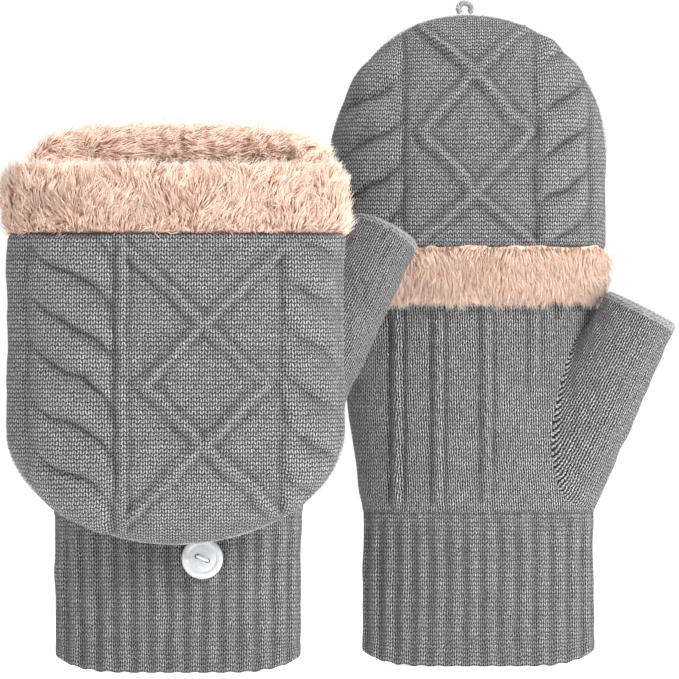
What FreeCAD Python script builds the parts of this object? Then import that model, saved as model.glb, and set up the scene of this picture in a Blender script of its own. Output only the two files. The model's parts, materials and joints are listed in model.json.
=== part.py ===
# A pair of convertible flip-top mittens, in millimetres.
#
# Each mitten is a knitted, fingerless hand with a thumb, and a cap that folds over the fingers.  The cap
# is hinged by the seam across the knuckles; a loop at its tip hooks over a button near the wrist.  The
# left mitten stands with its cap folded back, the right one with its cap closed.
#
# Every piece is built in its mitten's own frame: X across the hand, Y from the back of the hand (0 is the
# plane that the cap's hinge line lies in) to the palm, Z up from the cuff's hem to the fingertips.
import FreeCAD, Part

import itertools
import math
import os

import Sketcher
from FreeCAD import Placement, Rotation, Vector

doc = FreeCAD.newDocument("flip_top_mittens")
sheet = doc.addObject("Spreadsheet::Sheet", "dims")
sheet_rows = itertools.count(1)
pieces = []


# ---------------------------------------------------------------- driving dimensions
COMMON_SIZES = {
    "knit_wall": 2.0,
    "cap_knit_wall": 1.8,
    "thumb_wall": 1.8,
    "lining_wall": 1.8,
    "ply_gap": 0.2,
    "hand_back": 1.2,
    "cap_back": 0.6,
    "finger_back": 5.6,
    "seam_bead": 1.2,
    "fur_proud": 1.0,
    "lip_fur": 4.4,
    "lip_height": 6.0,
    "root_rise": 8.0,
    "hinge_gap": 0.5,
    "mouth_flat": 15.0,
    "seam_height": 3.0,
    "seam_reach": 6.0,
    "hem_height": 2.6,
    "hem_proud": 0.4,
    "button_radius": 7.5,
    "button_thick": 2.5,
    "button_dish": 0.6,
    "button_rim": 1.5,
    "hole_radius": 0.95,
    "hole_pitch": 4.0,
    "button_standoff": 2.2,
    "thread_radius": 0.6,
    "yarn_radius": 0.8,
}

LEFT_SIZES = {
    "place_x": -59.8,
    "place_y": -34.5,
    "hinge_z": 155.0,
    "cap_width": 122.0,
    "cap_depth": 38.0,
    "cap_shift": 0.5,
    "dome_z": 222.0,
    "dome_height": 43.0,
    "tip_lean": 4.0,
    "knit_edge_z": 150.0,
    "fur_edge_z": 126.0,
    "mouth_level": 37.0,
    "finger_width": 102.0,
    "finger_depth": 27.0,
    "lip_back_z": 174.0,
    "lip_palm_z": 190.0,
    "thumb_base_x": 40.0,
    "thumb_base_y": 27.0,
    "thumb_base_z": 92.0,
    "thumb_tip_x": 75.7,
    "thumb_tip_y": 51.0,
    "thumb_tip_z": 160.4,
    "thumb_root_width": 33.0,
    "thumb_root_depth": 27.0,
    "thumb_tip_width": 25.5,
    "thumb_tip_depth": 21.0,
    "button_x": 9.0,
    "button_z": 41.7,
}

RIGHT_SIZES = {
    "place_x": 50.2,
    "place_y": 70.3,
    "hinge_z": 150.0,
    "cap_width": 102.0,
    "cap_depth": 40.0,
    "cap_shift": 3.9,
    "dome_z": 187.0,
    "dome_height": 53.0,
    "tip_lean": 4.0,
    "knit_edge_z": 154.6,
    "fur_edge_z": 134.7,
    "mouth_level": 28.0,
    "finger_width": 88.0,
    "finger_depth": 29.0,
    "lip_back_z": 168.0,
    "lip_palm_z": 180.0,
    "thumb_base_x": 27.0,
    "thumb_base_y": 18.0,
    "thumb_base_z": 68.0,
    "thumb_tip_x": 59.4,
    "thumb_tip_y": 32.0,
    "thumb_tip_z": 132.0,
    "thumb_root_width": 34.0,
    "thumb_root_depth": 28.0,
    "thumb_tip_width": 27.6,
    "thumb_tip_depth": 22.0,
    "button_x": 9.0,
    "button_z": 50.0,
}

# Sections of each hand from the cuff's top to the knuckles: name, height, width, depth, shift off the thumb.
LEFT_HAND = (
    ("waist", 57.0, 90.0, 34.0, 0.0),
    ("heel", 78.0, 94.0, 34.0, 0.0),
    ("palm", 100.0, 98.0, 34.0, 0.0),
    ("mouth", 125.0, 100.0, 32.4, 0.0),
    ("knuckle", 152.6, 101.0, 31.6, 0.0),
)
RIGHT_HAND = (
    ("waist", 57.0, 85.0, 34.0, 0.0),
    ("heel", 75.0, 88.0, 36.0, 1.0),
    ("palm", 100.0, 93.0, 36.5, 2.0),
    ("mouth", 128.0, 93.0, 35.0, 2.4),
    ("knuckle", 147.6, 91.0, 34.0, 3.4),
)
CUFF_HEM = {"left": (89.0, 34.0), "right": (86.0, 34.0)}
DOME_STEPS = (0.3, 0.55, 0.75, 0.88, 0.95, 0.985)
DOME_POWER = 2.1

# Cutting outlines run from behind the back to beyond the palm, and up or down past everything they cut.
BEHIND = "-30"
BEYOND = "90"
ABOVE = "400"
BELOW_CAP = "60"
BELOW_LIP = "80"


def drive(alias, value):
    """Put one driving dimension into the sheet under its alias."""
    row = next(sheet_rows)
    sheet.set(f"A{row}", alias.replace("_", " "))
    sheet.set(f"B{row}", str(value))
    sheet.setAlias(f"B{row}", alias)




def fill_sheet():
    """Write every driving dimension of both mittens into the sheet."""
    for alias, value in COMMON_SIZES.items():
        drive(alias, value)
    for side, sizes, hand in (("left", LEFT_SIZES, LEFT_HAND), ("right", RIGHT_SIZES, RIGHT_HAND)):
        for alias, value in sizes.items():
            drive(f"{side}_{alias}", value)
        for name, height, width, depth, shift in hand:
            drive(f"{side}_{name}_z", height)
            drive(f"{side}_{name}_width", width)
            drive(f"{side}_{name}_depth", depth)
            drive(f"{side}_{name}_shift", shift)
        drive(f"{side}_hem_width", CUFF_HEM[side][0])
        drive(f"{side}_hem_depth", CUFF_HEM[side][1])
    doc.recompute()


def size(alias):
    """Read one driving dimension back from the sheet."""
    return float(sheet.get(alias))


# ---------------------------------------------------------------- sketches and features
def origin_plane(body, role):
    """Return one of a body's own origin planes."""
    return next(feature for feature in body.Origin.OriginFeatures if feature.Role == role)


def new_sketch(body, role, name):
    """Add a sketch attached flat to one of the body's origin planes."""
    sketch = body.newObject("Sketcher::SketchObject", name)
    sketch.AttachmentSupport = [(origin_plane(body, role), "")]
    sketch.MapMode = "FlatFace"
    return sketch


def ellipse_sketch(body, name, section):
    """Sketch an ellipse across Z: section is (x, y, z, width, depth), each an expression."""
    centre_x, centre_y, height, width, depth = section
    sketch = new_sketch(body, "XY_Plane", name)
    sketch.setExpression("AttachmentOffset.Base.x", centre_x)
    sketch.setExpression("AttachmentOffset.Base.y", centre_y)
    sketch.setExpression("AttachmentOffset.Base.z", height)
    sketch.addGeometry(Part.Ellipse(Vector(0, 0, 0), 10, 5))
    sketch.exposeInternalGeometry(0)
    sketch.addConstraint(Sketcher.Constraint("Coincident", 0, 3, -1, 1))
    sketch.addConstraint(Sketcher.Constraint("Horizontal", 1))
    across = sketch.addConstraint(Sketcher.Constraint("Distance", 1, 20.0))
    through = sketch.addConstraint(Sketcher.Constraint("Distance", 2, 10.0))
    sketch.setExpression(f"Constraints[{across}]", width)
    sketch.setExpression(f"Constraints[{through}]", depth)
    return sketch


def polygon_sketch(body, role, name, corners):
    """Sketch a closed polygon whose corners are pairs of expressions."""
    sketch = new_sketch(body, role, name)
    count = len(corners)
    turn = 2 * math.pi / count
    start = [Vector(10 * math.cos(turn * k), 10 * math.sin(turn * k), 0) for k in range(count)]
    for k in range(count):
        sketch.addGeometry(Part.LineSegment(start[k], start[(k + 1) % count]))
    for k in range(count):
        sketch.addConstraint(Sketcher.Constraint("Coincident", k, 2, (k + 1) % count, 1))
    for k, corner in enumerate(corners):
        for kind, expression in zip(("DistanceX", "DistanceY"), corner):
            index = sketch.addConstraint(Sketcher.Constraint(kind, -1, 1, k, 1, 1.0))
            sketch.setExpression(f"Constraints[{index}]", expression)
    return sketch


def loft(body, name, sections, kind="Additive", ruled=False):
    """Loft through elliptical sections, adding to the body or cutting from it."""
    sketches = [ellipse_sketch(body, f"{name}_{k}", section) for k, section in enumerate(sections)]
    feature = body.newObject(f"PartDesign::{kind}Loft", name)
    feature.Profile = sketches[0]
    feature.Sections = sketches[1:]
    feature.Ruled = ruled
    return feature


def cut_through(body, name, corners):
    """Cut a polygon, drawn in (Y, Z), away right across the body."""
    pocket = body.newObject("PartDesign::Pocket", name)
    pocket.Profile = polygon_sketch(body, "YZ_Plane", f"{name}_outline", corners)
    pocket.Type = "ThroughAll"
    pocket.SideType = "Symmetric"
    return pocket


def new_body(name):
    """Add an empty body."""
    return doc.addObject("PartDesign::Body", name)


def cut(name, base, tool):
    """Subtract one solid from another."""
    result = doc.addObject("Part::Cut", name)
    result.Base = base
    result.Tool = tool
    return result


def keep(feature, node, placement):
    """Name a finished piece and place it in the pair's frame."""
    feature.Label = node
    feature.Placement = placement
    pieces.append(feature)
    return feature


class Mitten:
    """One mitten of the pair; thumb is +1 where the thumb points along the mitten's own +X."""

    def __init__(self, side, thumb, hand, flipped):
        self.side = side
        self.thumb = thumb
        self.hand = hand
        turn = Rotation() if thumb > 0 else Rotation(Vector(0, 0, 1), 180)
        self.stand = Placement(Vector(self.size("place_x"), self.size("place_y"), 0), turn)
        self.fold = Placement()
        if flipped:
            hinge = Vector(0, 0, self.size("hinge_z"))
            self.fold = Placement(Vector(0, 0, 0), Rotation(Vector(1, 0, 0), 180), hinge)

    # -- names and sizes
    def dim(self, alias):
        """Expression for one of this mitten's own dimensions."""
        return f"dims.{self.side}_{alias}"

    def size(self, alias):
        """Value of one of this mitten's own dimensions."""
        return size(f"{self.side}_{alias}")

    def name(self, piece):
        """Node name of a piece of this mitten."""
        return f"{self.side}_{piece}"

    def section(self, shift, back, height, width, depth, inset="0"):
        """Elliptical section from its back line, inset all round."""
        centre_x = f"{-self.thumb} * ({shift})"
        centre_y = f"{back} + {depth} / 2"
        return (centre_x, centre_y, height, f"{width} - 2 * ({inset})", f"{depth} - 2 * ({inset})")

    # -- section lists
    def hand_sections(self, inset, run=0.0):
        """Sections of the hand from the cuff to above the knuckles, running past both ends."""
        rows = []
        for name in [row[0] for row in self.hand]:
            rows.append(
                self.section(
                    self.dim(f"{name}_shift"), "dims.hand_back", self.dim(f"{name}_z"),
                    self.dim(f"{name}_width"), self.dim(f"{name}_depth"), inset,
                )
            )
        for rise in ("0", "dims.root_rise"):
            rows.append(
                self.section(
                    self.dim("knuckle_shift"), "dims.finger_back", f"{self.dim('hinge_z')} + {rise}",
                    self.dim("finger_width"), self.dim("finger_depth"), inset,
                )
            )
        if run:
            first = rows[0]
            last = rows[-1]
            rows.insert(0, first[:2] + (f"{first[2]} - {run}",) + first[3:])
            rows.append(last[:2] + (f"{last[2]} + {run}",) + last[3:])
        return rows

    def cap_sections(self, inset):
        """Sections of the closed cap from below its mouth to its tip."""
        straight_z = (f"{self.dim('fur_edge_z')} - 4", self.dim("dome_z"))
        width = self.dim("cap_width")
        depth = self.dim("cap_depth")
        shift = self.dim("cap_shift")
        rows = [self.section(shift, "dims.cap_back", z, width, depth, inset) for z in straight_z]
        for step in DOME_STEPS:
            taper = (1 - step**DOME_POWER) ** (1 / DOME_POWER)
            centre_x = f"{-self.thumb} * {self.dim('cap_shift')}"
            centre_y = f"dims.cap_back + {depth} / 2 - {step} * {self.dim('tip_lean')}"
            height = f"{self.dim('dome_z')} + {step} * ({self.dim('dome_height')} - ({inset}))"
            rows.append(
                (
                    centre_x, centre_y, height,
                    f"({width} - 2 * ({inset})) * {taper:.5f}", f"({depth} - 2 * ({inset})) * {taper:.5f}",
                )
            )
        return rows

    def finger_sections(self, inset, low, high):
        """Two equal sections of the finger opening between two heights."""
        return [
            self.section(
                self.dim("knuckle_shift"), "dims.finger_back", height,
                self.dim("finger_width"), self.dim("finger_depth"), inset,
            )
            for height in (low, high)
        ]

    def thumb_sections(self, inset, low, high):
        """Sections of the thumb along its own axis, from the share low to the share high of its length."""
        rows = []
        for share in (low, high):
            width = self.blend("thumb_root_width", "thumb_tip_width", share)
            depth = self.blend("thumb_root_depth", "thumb_tip_depth", share)
            along = f"{self.thumb_length()} * {share}"
            rows.append(("0", "0", along, f"{width} - 2 * ({inset})", f"{depth} - 2 * ({inset})"))
        return rows

    def blend(self, start, end, share):
        """Expression for a size part of the way from one dimension to another."""
        return f"({self.dim(start)} * {1 - share} + {self.dim(end)} * {share})"

    def thumb_vector(self):
        """Vector from the thumb's root to its tip, in the mitten's frame."""
        root = [self.size(f"thumb_base_{axis}") for axis in "xyz"]
        tip = [self.size(f"thumb_tip_{axis}") for axis in "xyz"]
        return Vector(self.thumb * (tip[0] - root[0]), tip[1] - root[1], tip[2] - root[2])

    def thumb_length(self):
        """Expression for the thumb's length from root to tip."""
        squares = "+".join(
            f"({self.dim(f'thumb_tip_{axis}')} - {self.dim(f'thumb_base_{axis}')})^2" for axis in "xyz"
        )
        return f"sqrt({squares})"

    def thumb_placement(self):
        """Place the thumb's own axis in the mitten's frame."""
        root = Vector(
            self.thumb * self.size("thumb_base_x"), self.size("thumb_base_y"), self.size("thumb_base_z")
        )
        return Placement(root, Rotation(Vector(0, 0, 1), self.thumb_vector()))

    # -- cutting outlines in (Y, Z)
    def mouth_line(self, edge, lift="0"):
        """Corners of the cap's mouth: level across the back, and level again across the palm."""
        hinge = f"{self.dim('hinge_z')} + dims.hinge_gap + {lift}"
        palm = f"{self.dim(edge)} + {lift}"
        return ((BEHIND, hinge), ("dims.mouth_flat", hinge), (self.dim("mouth_level"), palm), (BEYOND, palm))

    def lip_line(self, lift="0"):
        """Corners of the slanted finger opening, extended past both faces."""
        rise = f"({self.dim('lip_palm_z')} - {self.dim('lip_back_z')}) / {self.dim('finger_depth')}"
        low = f"{self.dim('lip_back_z')} + {lift} - {rise} * (dims.finger_back + 30)"
        high = f"{self.dim('lip_back_z')} + {lift} + {rise} * (90 - dims.finger_back)"
        return ((BEHIND, low), (BEYOND, high))

    # -- the hand
    def build_hand(self):
        """Cuff, hand, lining and finger opening, with the thumb."""
        hem = self.section(
            self.dim("waist_shift"), "dims.hand_back", "0", self.dim("hem_width"), self.dim("hem_depth")
        )
        waist = self.hand_sections("0")[0]
        cuff = new_body(self.name("cuff_body"))
        loft(cuff, self.name("cuff_outside"), [hem, waist], ruled=True)
        wall = "2 * dims.knit_wall"
        low = hem[:2] + ("-1", f"{hem[3]} - {wall}", f"{hem[4]} - {wall}")
        high = waist[:2] + (f"{waist[2]} + 1", f"{waist[3]} - {wall}", f"{waist[4]} - {wall}")
        loft(cuff, self.name("cuff_inside"), [low, high], "Subtractive", ruled=True)
        keep(cuff, self.name("cuff"), self.stand)

        tube = new_body(self.name("hand_tube"))
        loft(tube, self.name("hand_outside"), self.hand_sections("0"), ruled=True)
        cavity = self.hand_sections("dims.knit_wall", 1)
        loft(tube, self.name("hand_inside"), cavity, "Subtractive", ruled=True)

        lining = new_body(self.name("lining_tube"))
        outer = "dims.knit_wall + dims.ply_gap"
        loft(lining, self.name("lining_outside"), self.hand_sections(outer), ruled=True)
        inside = self.hand_sections(f"{outer} + dims.lining_wall", 1)
        loft(lining, self.name("lining_inside"), inside, "Subtractive", ruled=True)

        form = new_body(self.name("hand_form"))
        loft(form, self.name("hand_form_outside"), self.hand_sections("0"), ruled=True)

        bore = new_body(self.name("thumb_bore"))
        bored = self.thumb_sections("dims.thumb_wall", 0.1, 1.05)
        loft(bore, self.name("thumb_bore_loft"), bored, ruled=True)
        bore.Placement = self.thumb_placement()

        sleeve = new_body(self.name("thumb_tube"))
        hem_share = 1 - size("hem_height") / self.thumb_vector().Length
        loft(sleeve, self.name("thumb_outside"), self.thumb_sections("0", 0.0, hem_share), ruled=True)
        hollow = self.thumb_sections("dims.thumb_wall", -0.05, 1.05)
        loft(sleeve, self.name("thumb_inside"), hollow, "Subtractive", ruled=True)
        sleeve.Placement = self.thumb_placement()

        hem_ring = new_body(self.name("thumb_hem_body"))
        ring = self.thumb_sections("-dims.hem_proud", hem_share, 1.0)
        loft(hem_ring, self.name("thumb_hem_outside"), ring, ruled=True)
        hollow = self.thumb_sections("dims.thumb_wall", hem_share - 0.05, 1.05)
        loft(hem_ring, self.name("thumb_hem_inside"), hollow, "Subtractive", ruled=True)

        keep(cut(self.name("hand_shell_cut"), tube, bore), self.name("hand_shell"), self.stand)
        keep(cut(self.name("hand_lining_cut"), lining, bore), self.name("hand_lining"), self.stand)
        keep(cut(self.name("thumb_sleeve_cut"), sleeve, form), self.name("thumb_sleeve"), self.stand)
        keep(hem_ring, self.name("thumb_hem"), self.stand.multiply(self.thumb_placement()))

    def build_finger_opening(self):
        """The knitted band round the fingers, and the plush that lines and edges it."""
        root_z = f"{self.dim('hinge_z')} + dims.root_rise"
        top_z = f"{self.dim('lip_palm_z')} + 20"
        band = new_body(self.name("finger_band_body"))
        loft(band, self.name("finger_outside"), self.finger_sections("0", root_z, top_z))
        inside = self.finger_sections("dims.knit_wall", f"{root_z} - 1", f"{top_z} + 1")
        loft(band, self.name("finger_inside"), inside, "Subtractive")
        low, high = self.lip_line()
        cut_through(band, self.name("finger_slant"), [low, high, (BEYOND, ABOVE), (BEHIND, ABOVE)])
        keep(band, self.name("finger_band"), self.stand)

        fur = new_body(self.name("finger_fur_body"))
        outside = self.finger_sections("0", f"{self.dim('lip_back_z')} - 10", top_z)
        loft(fur, self.name("lip_outside"), outside)
        inside = self.finger_sections("dims.lip_fur", "100", f"{top_z} + 1")
        loft(fur, self.name("lip_inside"), inside, "Subtractive")
        cut_through(fur, self.name("lip_under"), [low, high, (BEYOND, BELOW_LIP), (BEHIND, BELOW_LIP)])
        above = self.lip_line("dims.lip_height")
        cut_through(fur, self.name("lip_over"), [above[0], above[1], (BEYOND, ABOVE), (BEHIND, ABOVE)])
        keep(fur, self.name("finger_fur"), self.stand)

    # -- the cap
    def cap_layer(self, piece, outer, inner):
        """A hollow, domed layer of the cap between two insets."""
        body = new_body(self.name(f"{piece}_body"))
        loft(body, self.name(f"{piece}_outside"), self.cap_sections(outer), ruled=True)
        rows = self.cap_sections(inner)
        rows[0] = rows[0][:2] + (f"{rows[0][2]} - 1",) + rows[0][3:]
        loft(body, self.name(f"{piece}_inside"), rows, "Subtractive", ruled=True)
        return body

    def build_cap(self):
        """Cap, lining, fur band and the linked seam round the tip."""
        placement = self.stand.multiply(self.fold)
        below = ((BEYOND, BELOW_CAP), (BEHIND, BELOW_CAP))
        lining_outer = "dims.cap_knit_wall + dims.ply_gap"
        lining_inner = f"{lining_outer} + dims.lining_wall"

        shell = self.cap_layer("cap_shell", "0", "dims.cap_knit_wall")
        cut_through(shell, self.name("cap_shell_mouth"), self.mouth_line("knit_edge_z") + below)
        keep(shell, self.name("cap_shell"), placement)

        lining = self.cap_layer("cap_lining", lining_outer, lining_inner)
        cut_through(lining, self.name("cap_lining_mouth"), self.mouth_line("knit_edge_z") + below)
        keep(lining, self.name("cap_lining"), placement)

        band = self.cap_layer("cap_fur", "-dims.fur_proud", lining_inner)
        above = ((BEYOND, ABOVE), (BEHIND, ABOVE))
        cut_through(band, self.name("cap_fur_over"), self.mouth_line("knit_edge_z") + above)
        cut_through(band, self.name("cap_fur_under"), self.mouth_line("fur_edge_z", "0.01") + below)
        keep(band, self.name("cap_fur_band"), placement)

        self.build_crown_seam(placement)

    def build_crown_seam(self, placement):
        """The raised bead that links the cap's two faces round its tip."""
        forms = []
        for layer, inset in (("bead", "-dims.seam_bead"), ("cap", "0")):
            form = new_body(self.name(f"{layer}_form"))
            loft(form, self.name(f"{layer}_form_outside"), self.cap_sections(inset), ruled=True)
            forms.append(form)
        slab = doc.addObject("Part::Box", self.name("seam_slab"))
        slab.setExpression("Length", f"{self.dim('cap_width')} + 40")
        slab.setExpression("Width", "2 * dims.seam_bead")
        slab.setExpression("Height", f"{self.dim('dome_height')} + 10")
        lean = math.degrees(math.atan2(self.size("tip_lean"), self.size("dome_height")))
        middle = size("cap_back") + self.size("cap_depth") / 2
        across = -self.size("cap_width") / 2 - 20
        corner = Vector(across, middle - size("seam_bead"), self.size("dome_z") + 4)
        slab.Placement = Placement(corner, Rotation(Vector(1, 0, 0), lean))
        plate = doc.addObject("Part::Common", self.name("seam_plate"))
        plate.Base = slab
        plate.Tool = forms[0]
        keep(cut(self.name("crown_seam_cut"), plate, forms[1]), self.name("crown_seam"), placement)

    def build_knuckle_seam(self):
        """The seam across the knuckles that the cap is sewn to and turns about."""
        seam = new_body(self.name("knuckle_seam_body"))
        top = f"{self.dim('knuckle_z')} - 0.2"
        bottom = f"{top} - dims.seam_height"
        proud = "dims.hand_back - 0.2"
        rows = []
        for height in (bottom, top):
            rows.append(
                self.section(
                    self.dim("knuckle_shift"), "dims.hand_back", height,
                    self.dim("knuckle_width"), self.dim("knuckle_depth"), f"-({proud})",
                )
            )
        loft(seam, self.name("knuckle_outside"), rows)
        # The hand's own outside at this height is cut away, so that the seam lies on it.
        hand_rows = [row for row in self.hand_sections("0")][3:5]
        loft(seam, self.name("knuckle_inside"), hand_rows, "Subtractive", ruled=True)
        edge = "dims.hand_back + dims.seam_reach"
        ends = [(edge, BELOW_CAP), (edge, ABOVE), (BEYOND, ABOVE), (BEYOND, BELOW_CAP)]
        cut_through(seam, self.name("knuckle_ends"), ends)
        keep(seam, self.name("knuckle_seam"), self.stand)

    # -- the fastening
    def button_placement(self):
        """Place a button, drawn face up at the origin, on the back of the hand."""
        across = self.thumb * self.size("button_x")
        half_width = self.size("waist_width") / 2
        half_depth = self.size("waist_depth") / 2
        surface = size("hand_back") + half_depth * (1 - math.sqrt(1 - (across / half_width) ** 2))
        place = Vector(across, surface - size("button_standoff"), self.size("button_z"))
        return Placement(place, Rotation(Vector(1, 0, 0), 90))

    def build_button(self):
        """A two-hole button with a raised rim, and the thread that holds it on."""
        body = new_body(self.name("button_body"))
        outline = (
            ("0.01", "0"),
            ("dims.button_radius - 0.9", "0"),
            ("dims.button_radius", "0.9"),
            ("dims.button_radius", "dims.button_thick - 0.5"),
            ("dims.button_radius - 0.5", "dims.button_thick"),
            ("dims.button_radius - dims.button_rim", "dims.button_thick"),
            ("dims.button_radius - dims.button_rim - 1", "dims.button_thick - dims.button_dish"),
            ("0.01", "dims.button_thick - dims.button_dish"),
        )
        turned = body.newObject("PartDesign::Revolution", self.name("button_turned"))
        sketch = polygon_sketch(body, "XZ_Plane", self.name("button_outline"), outline)
        turned.Profile = sketch
        turned.ReferenceAxis = (sketch, ["V_Axis"])
        turned.Angle = 360
        holes = body.newObject("PartDesign::Pocket", self.name("button_holes"))
        drill = new_sketch(body, "XY_Plane", self.name("button_hole_sketch"))
        for k, sign in enumerate((-1, 1)):
            drill.addGeometry(Part.Circle(Vector(2 * sign, 0, 0), Vector(0, 0, 1), 1))
            radius = drill.addConstraint(Sketcher.Constraint("Radius", k, 1.0))
            drill.setExpression(f"Constraints[{radius}]", "dims.hole_radius")
            across = drill.addConstraint(Sketcher.Constraint("DistanceX", -1, 1, k, 3, 2.0 * sign))
            drill.setExpression(f"Constraints[{across}]", f"{sign} * dims.hole_pitch / 2")
            drill.addConstraint(Sketcher.Constraint("PointOnObject", k, 3, -1))
        holes.Profile = drill
        holes.Type = "ThroughAll"
        holes.SideType = "Symmetric"
        placement = self.stand.multiply(self.button_placement())
        keep(body, self.name("button"), placement)

        thread = doc.addObject("Part::Feature", self.name("thread_feature"))
        thread.Shape = self.thread_shape()
        keep(thread, self.name("button_thread"), placement)

    def thread_shape(self):
        """A staple of thread: down both holes, across the face, and into the cloth behind."""
        half = size("hole_pitch") / 2
        radius = size("thread_radius")
        reach = size("button_standoff") - 0.3
        face = size("button_thick") - size("button_dish")
        top = face + radius + 0.1
        corners = [(-half, -reach), (-half, top), (half, top), (half, -reach)]
        path = rounded_path([Vector(x, 0, z) for x, z in corners], 0.65)
        return tube_along(path, radius)

    def build_loop(self, flipped):
        """The yarn loop at the cap's tip: round the button's shank, or standing free on the tip."""
        radius = size("yarn_radius")
        loop = doc.addObject("Part::Feature", self.name("loop_feature"))
        if flipped:
            button = self.button_placement().Base
            half = 3.6
            slot_y = button.y + size("button_standoff") / 2
            top = self.size("button_z") + size("button_radius") + 1.9
            corners = [
                Vector(button.x - half, -1.9, top + 4.5),
                Vector(button.x - half, slot_y, top),
                Vector(button.x - half, slot_y, button.z - half),
                Vector(button.x + half, slot_y, button.z - half),
                Vector(button.x + half, slot_y, top),
                Vector(button.x + half, -1.9, top + 4.5),
            ]
            loop.Shape = tube_along(rounded_path(corners, 2.2), radius)
            keep(loop, self.name("button_loop"), self.stand)
            return
        half_width = 2.9
        base = self.size("dome_z") + self.size("dome_height") + 0.8
        centre_y = size("cap_back") + self.size("cap_depth") / 2 - self.size("tip_lean")
        centre_x = -self.thumb * self.size("cap_shift")
        height = 4.6
        corners = [
            Vector(centre_x + half_width, centre_y, base),
            Vector(centre_x + half_width, centre_y, base + height),
            Vector(centre_x - half_width, centre_y, base + height),
            Vector(centre_x - half_width, centre_y, base),
        ]
        loop.Shape = tube_along(rounded_path(corners, 1.7), radius)
        keep(loop, self.name("button_loop"), self.stand)


def rounded_path(points, radius):
    """Join points by straight runs with tangent arcs of one radius at the corners."""
    edges = []
    last = points[0]
    for before, corner, after in zip(points, points[1:], points[2:]):
        inward = (before - corner).normalize()
        outward = (after - corner).normalize()
        opening = inward.getAngle(outward)
        trim = radius / math.tan(opening / 2)
        middle = (inward + outward).normalize()
        centre = corner + middle * (radius / math.sin(opening / 2))
        start = corner + inward * trim
        end = corner + outward * trim
        edges.append(Part.LineSegment(last, start).toShape())
        edges.append(Part.Arc(start, centre - middle * radius, end).toShape())
        last = end
    edges.append(Part.LineSegment(last, points[-1]).toShape())
    return Part.Wire(edges)


def tube_along(path, radius):
    """Sweep a round section along a path."""
    first = path.OrderedEdges[0]
    start = first.valueAt(first.FirstParameter)
    heading = first.tangentAt(first.FirstParameter)
    ring = Part.Wire([Part.makeCircle(radius, start, heading)])
    return path.makePipeShell([ring], True, False)


def check_document():
    """Stop if any object failed, or if any piece isn't a valid solid."""
    for item in doc.Objects:
        if "Invalid" in item.State or "Error" in item.State:
            raise RuntimeError(f"{item.Name}: {item.State}")
    for piece in pieces:
        shape = piece.Shape
        if shape.isNull() or not shape.isValid() or not shape.Solids:
            raise RuntimeError(f"{piece.Label}: bad shape")


def main():
    """Build both mittens, check them and write each piece to its file."""
    fill_sheet()
    left = Mitten("left", 1, LEFT_HAND, flipped=True)
    right = Mitten("right", -1, RIGHT_HAND, flipped=False)
    for mitten, flipped in ((left, True), (right, False)):
        mitten.build_hand()
        mitten.build_finger_opening()
        mitten.build_cap()
        mitten.build_knuckle_seam()
        mitten.build_button()
        mitten.build_loop(flipped)
    doc.recompute()
    check_document()
    os.makedirs("parts", exist_ok=True)
    for piece in pieces:
        piece.Shape.exportStep(f"parts/{piece.Label}.step")
        box = piece.Shape.optimalBoundingBox()
        low = f"({box.XMin:.1f}, {box.YMin:.1f}, {box.ZMin:.1f})"
        high = f"({box.XMax:.1f}, {box.YMax:.1f}, {box.ZMax:.1f})"
        print(f"{piece.Label:22s} solids {len(piece.Shape.Solids)} volume {piece.Shape.Volume:9.1f} from {low} to {high}")


main()
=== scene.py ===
"""Visual model of a pair of knitted flip-top mittens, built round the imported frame.

The left mitten stands with its cap folded back over the hand and shows the plush of its opening; the
right mitten stands palm forward with its cap closed.  Every piece is measured from the frame's nodes and
joints.  Sizes inside a mitten are millimetres in its own frame: x across the hand towards the thumb, y
from the plane of the cap's hinge towards the palm, z up from the hem.
"""

from __future__ import annotations

import json
import logging
import math
from dataclasses import dataclass
from enum import Enum
from typing import Callable

import bpy
import numpy as np
from mathutils import Matrix, Vector

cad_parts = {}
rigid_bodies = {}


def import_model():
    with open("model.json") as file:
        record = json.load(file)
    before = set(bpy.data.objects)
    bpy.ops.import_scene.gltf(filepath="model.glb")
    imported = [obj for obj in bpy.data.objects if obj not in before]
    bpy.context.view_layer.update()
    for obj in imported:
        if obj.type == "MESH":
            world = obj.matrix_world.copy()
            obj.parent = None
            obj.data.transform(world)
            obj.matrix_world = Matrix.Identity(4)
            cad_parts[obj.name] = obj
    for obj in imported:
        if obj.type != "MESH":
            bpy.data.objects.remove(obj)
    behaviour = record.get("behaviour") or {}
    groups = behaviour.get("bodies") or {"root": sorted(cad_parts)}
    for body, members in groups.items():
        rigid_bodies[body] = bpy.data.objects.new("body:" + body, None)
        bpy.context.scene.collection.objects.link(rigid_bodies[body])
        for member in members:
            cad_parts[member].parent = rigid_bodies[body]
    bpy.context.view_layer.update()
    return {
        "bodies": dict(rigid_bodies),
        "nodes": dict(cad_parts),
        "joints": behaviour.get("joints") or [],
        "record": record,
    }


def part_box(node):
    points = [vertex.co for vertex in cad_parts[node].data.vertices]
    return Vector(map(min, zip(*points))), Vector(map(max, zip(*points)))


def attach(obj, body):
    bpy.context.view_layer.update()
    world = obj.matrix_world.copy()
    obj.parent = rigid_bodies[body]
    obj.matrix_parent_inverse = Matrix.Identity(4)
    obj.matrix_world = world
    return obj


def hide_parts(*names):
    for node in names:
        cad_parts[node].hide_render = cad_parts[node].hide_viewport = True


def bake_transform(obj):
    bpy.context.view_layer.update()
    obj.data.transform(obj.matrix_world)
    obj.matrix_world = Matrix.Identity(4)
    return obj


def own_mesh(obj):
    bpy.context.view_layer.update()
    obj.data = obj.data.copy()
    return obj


MM = 0.001
SEED = 20
log = logging.getLogger("mittens")

Array = np.ndarray
Relief = Callable[[Array, Array, Array], Array]


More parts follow.
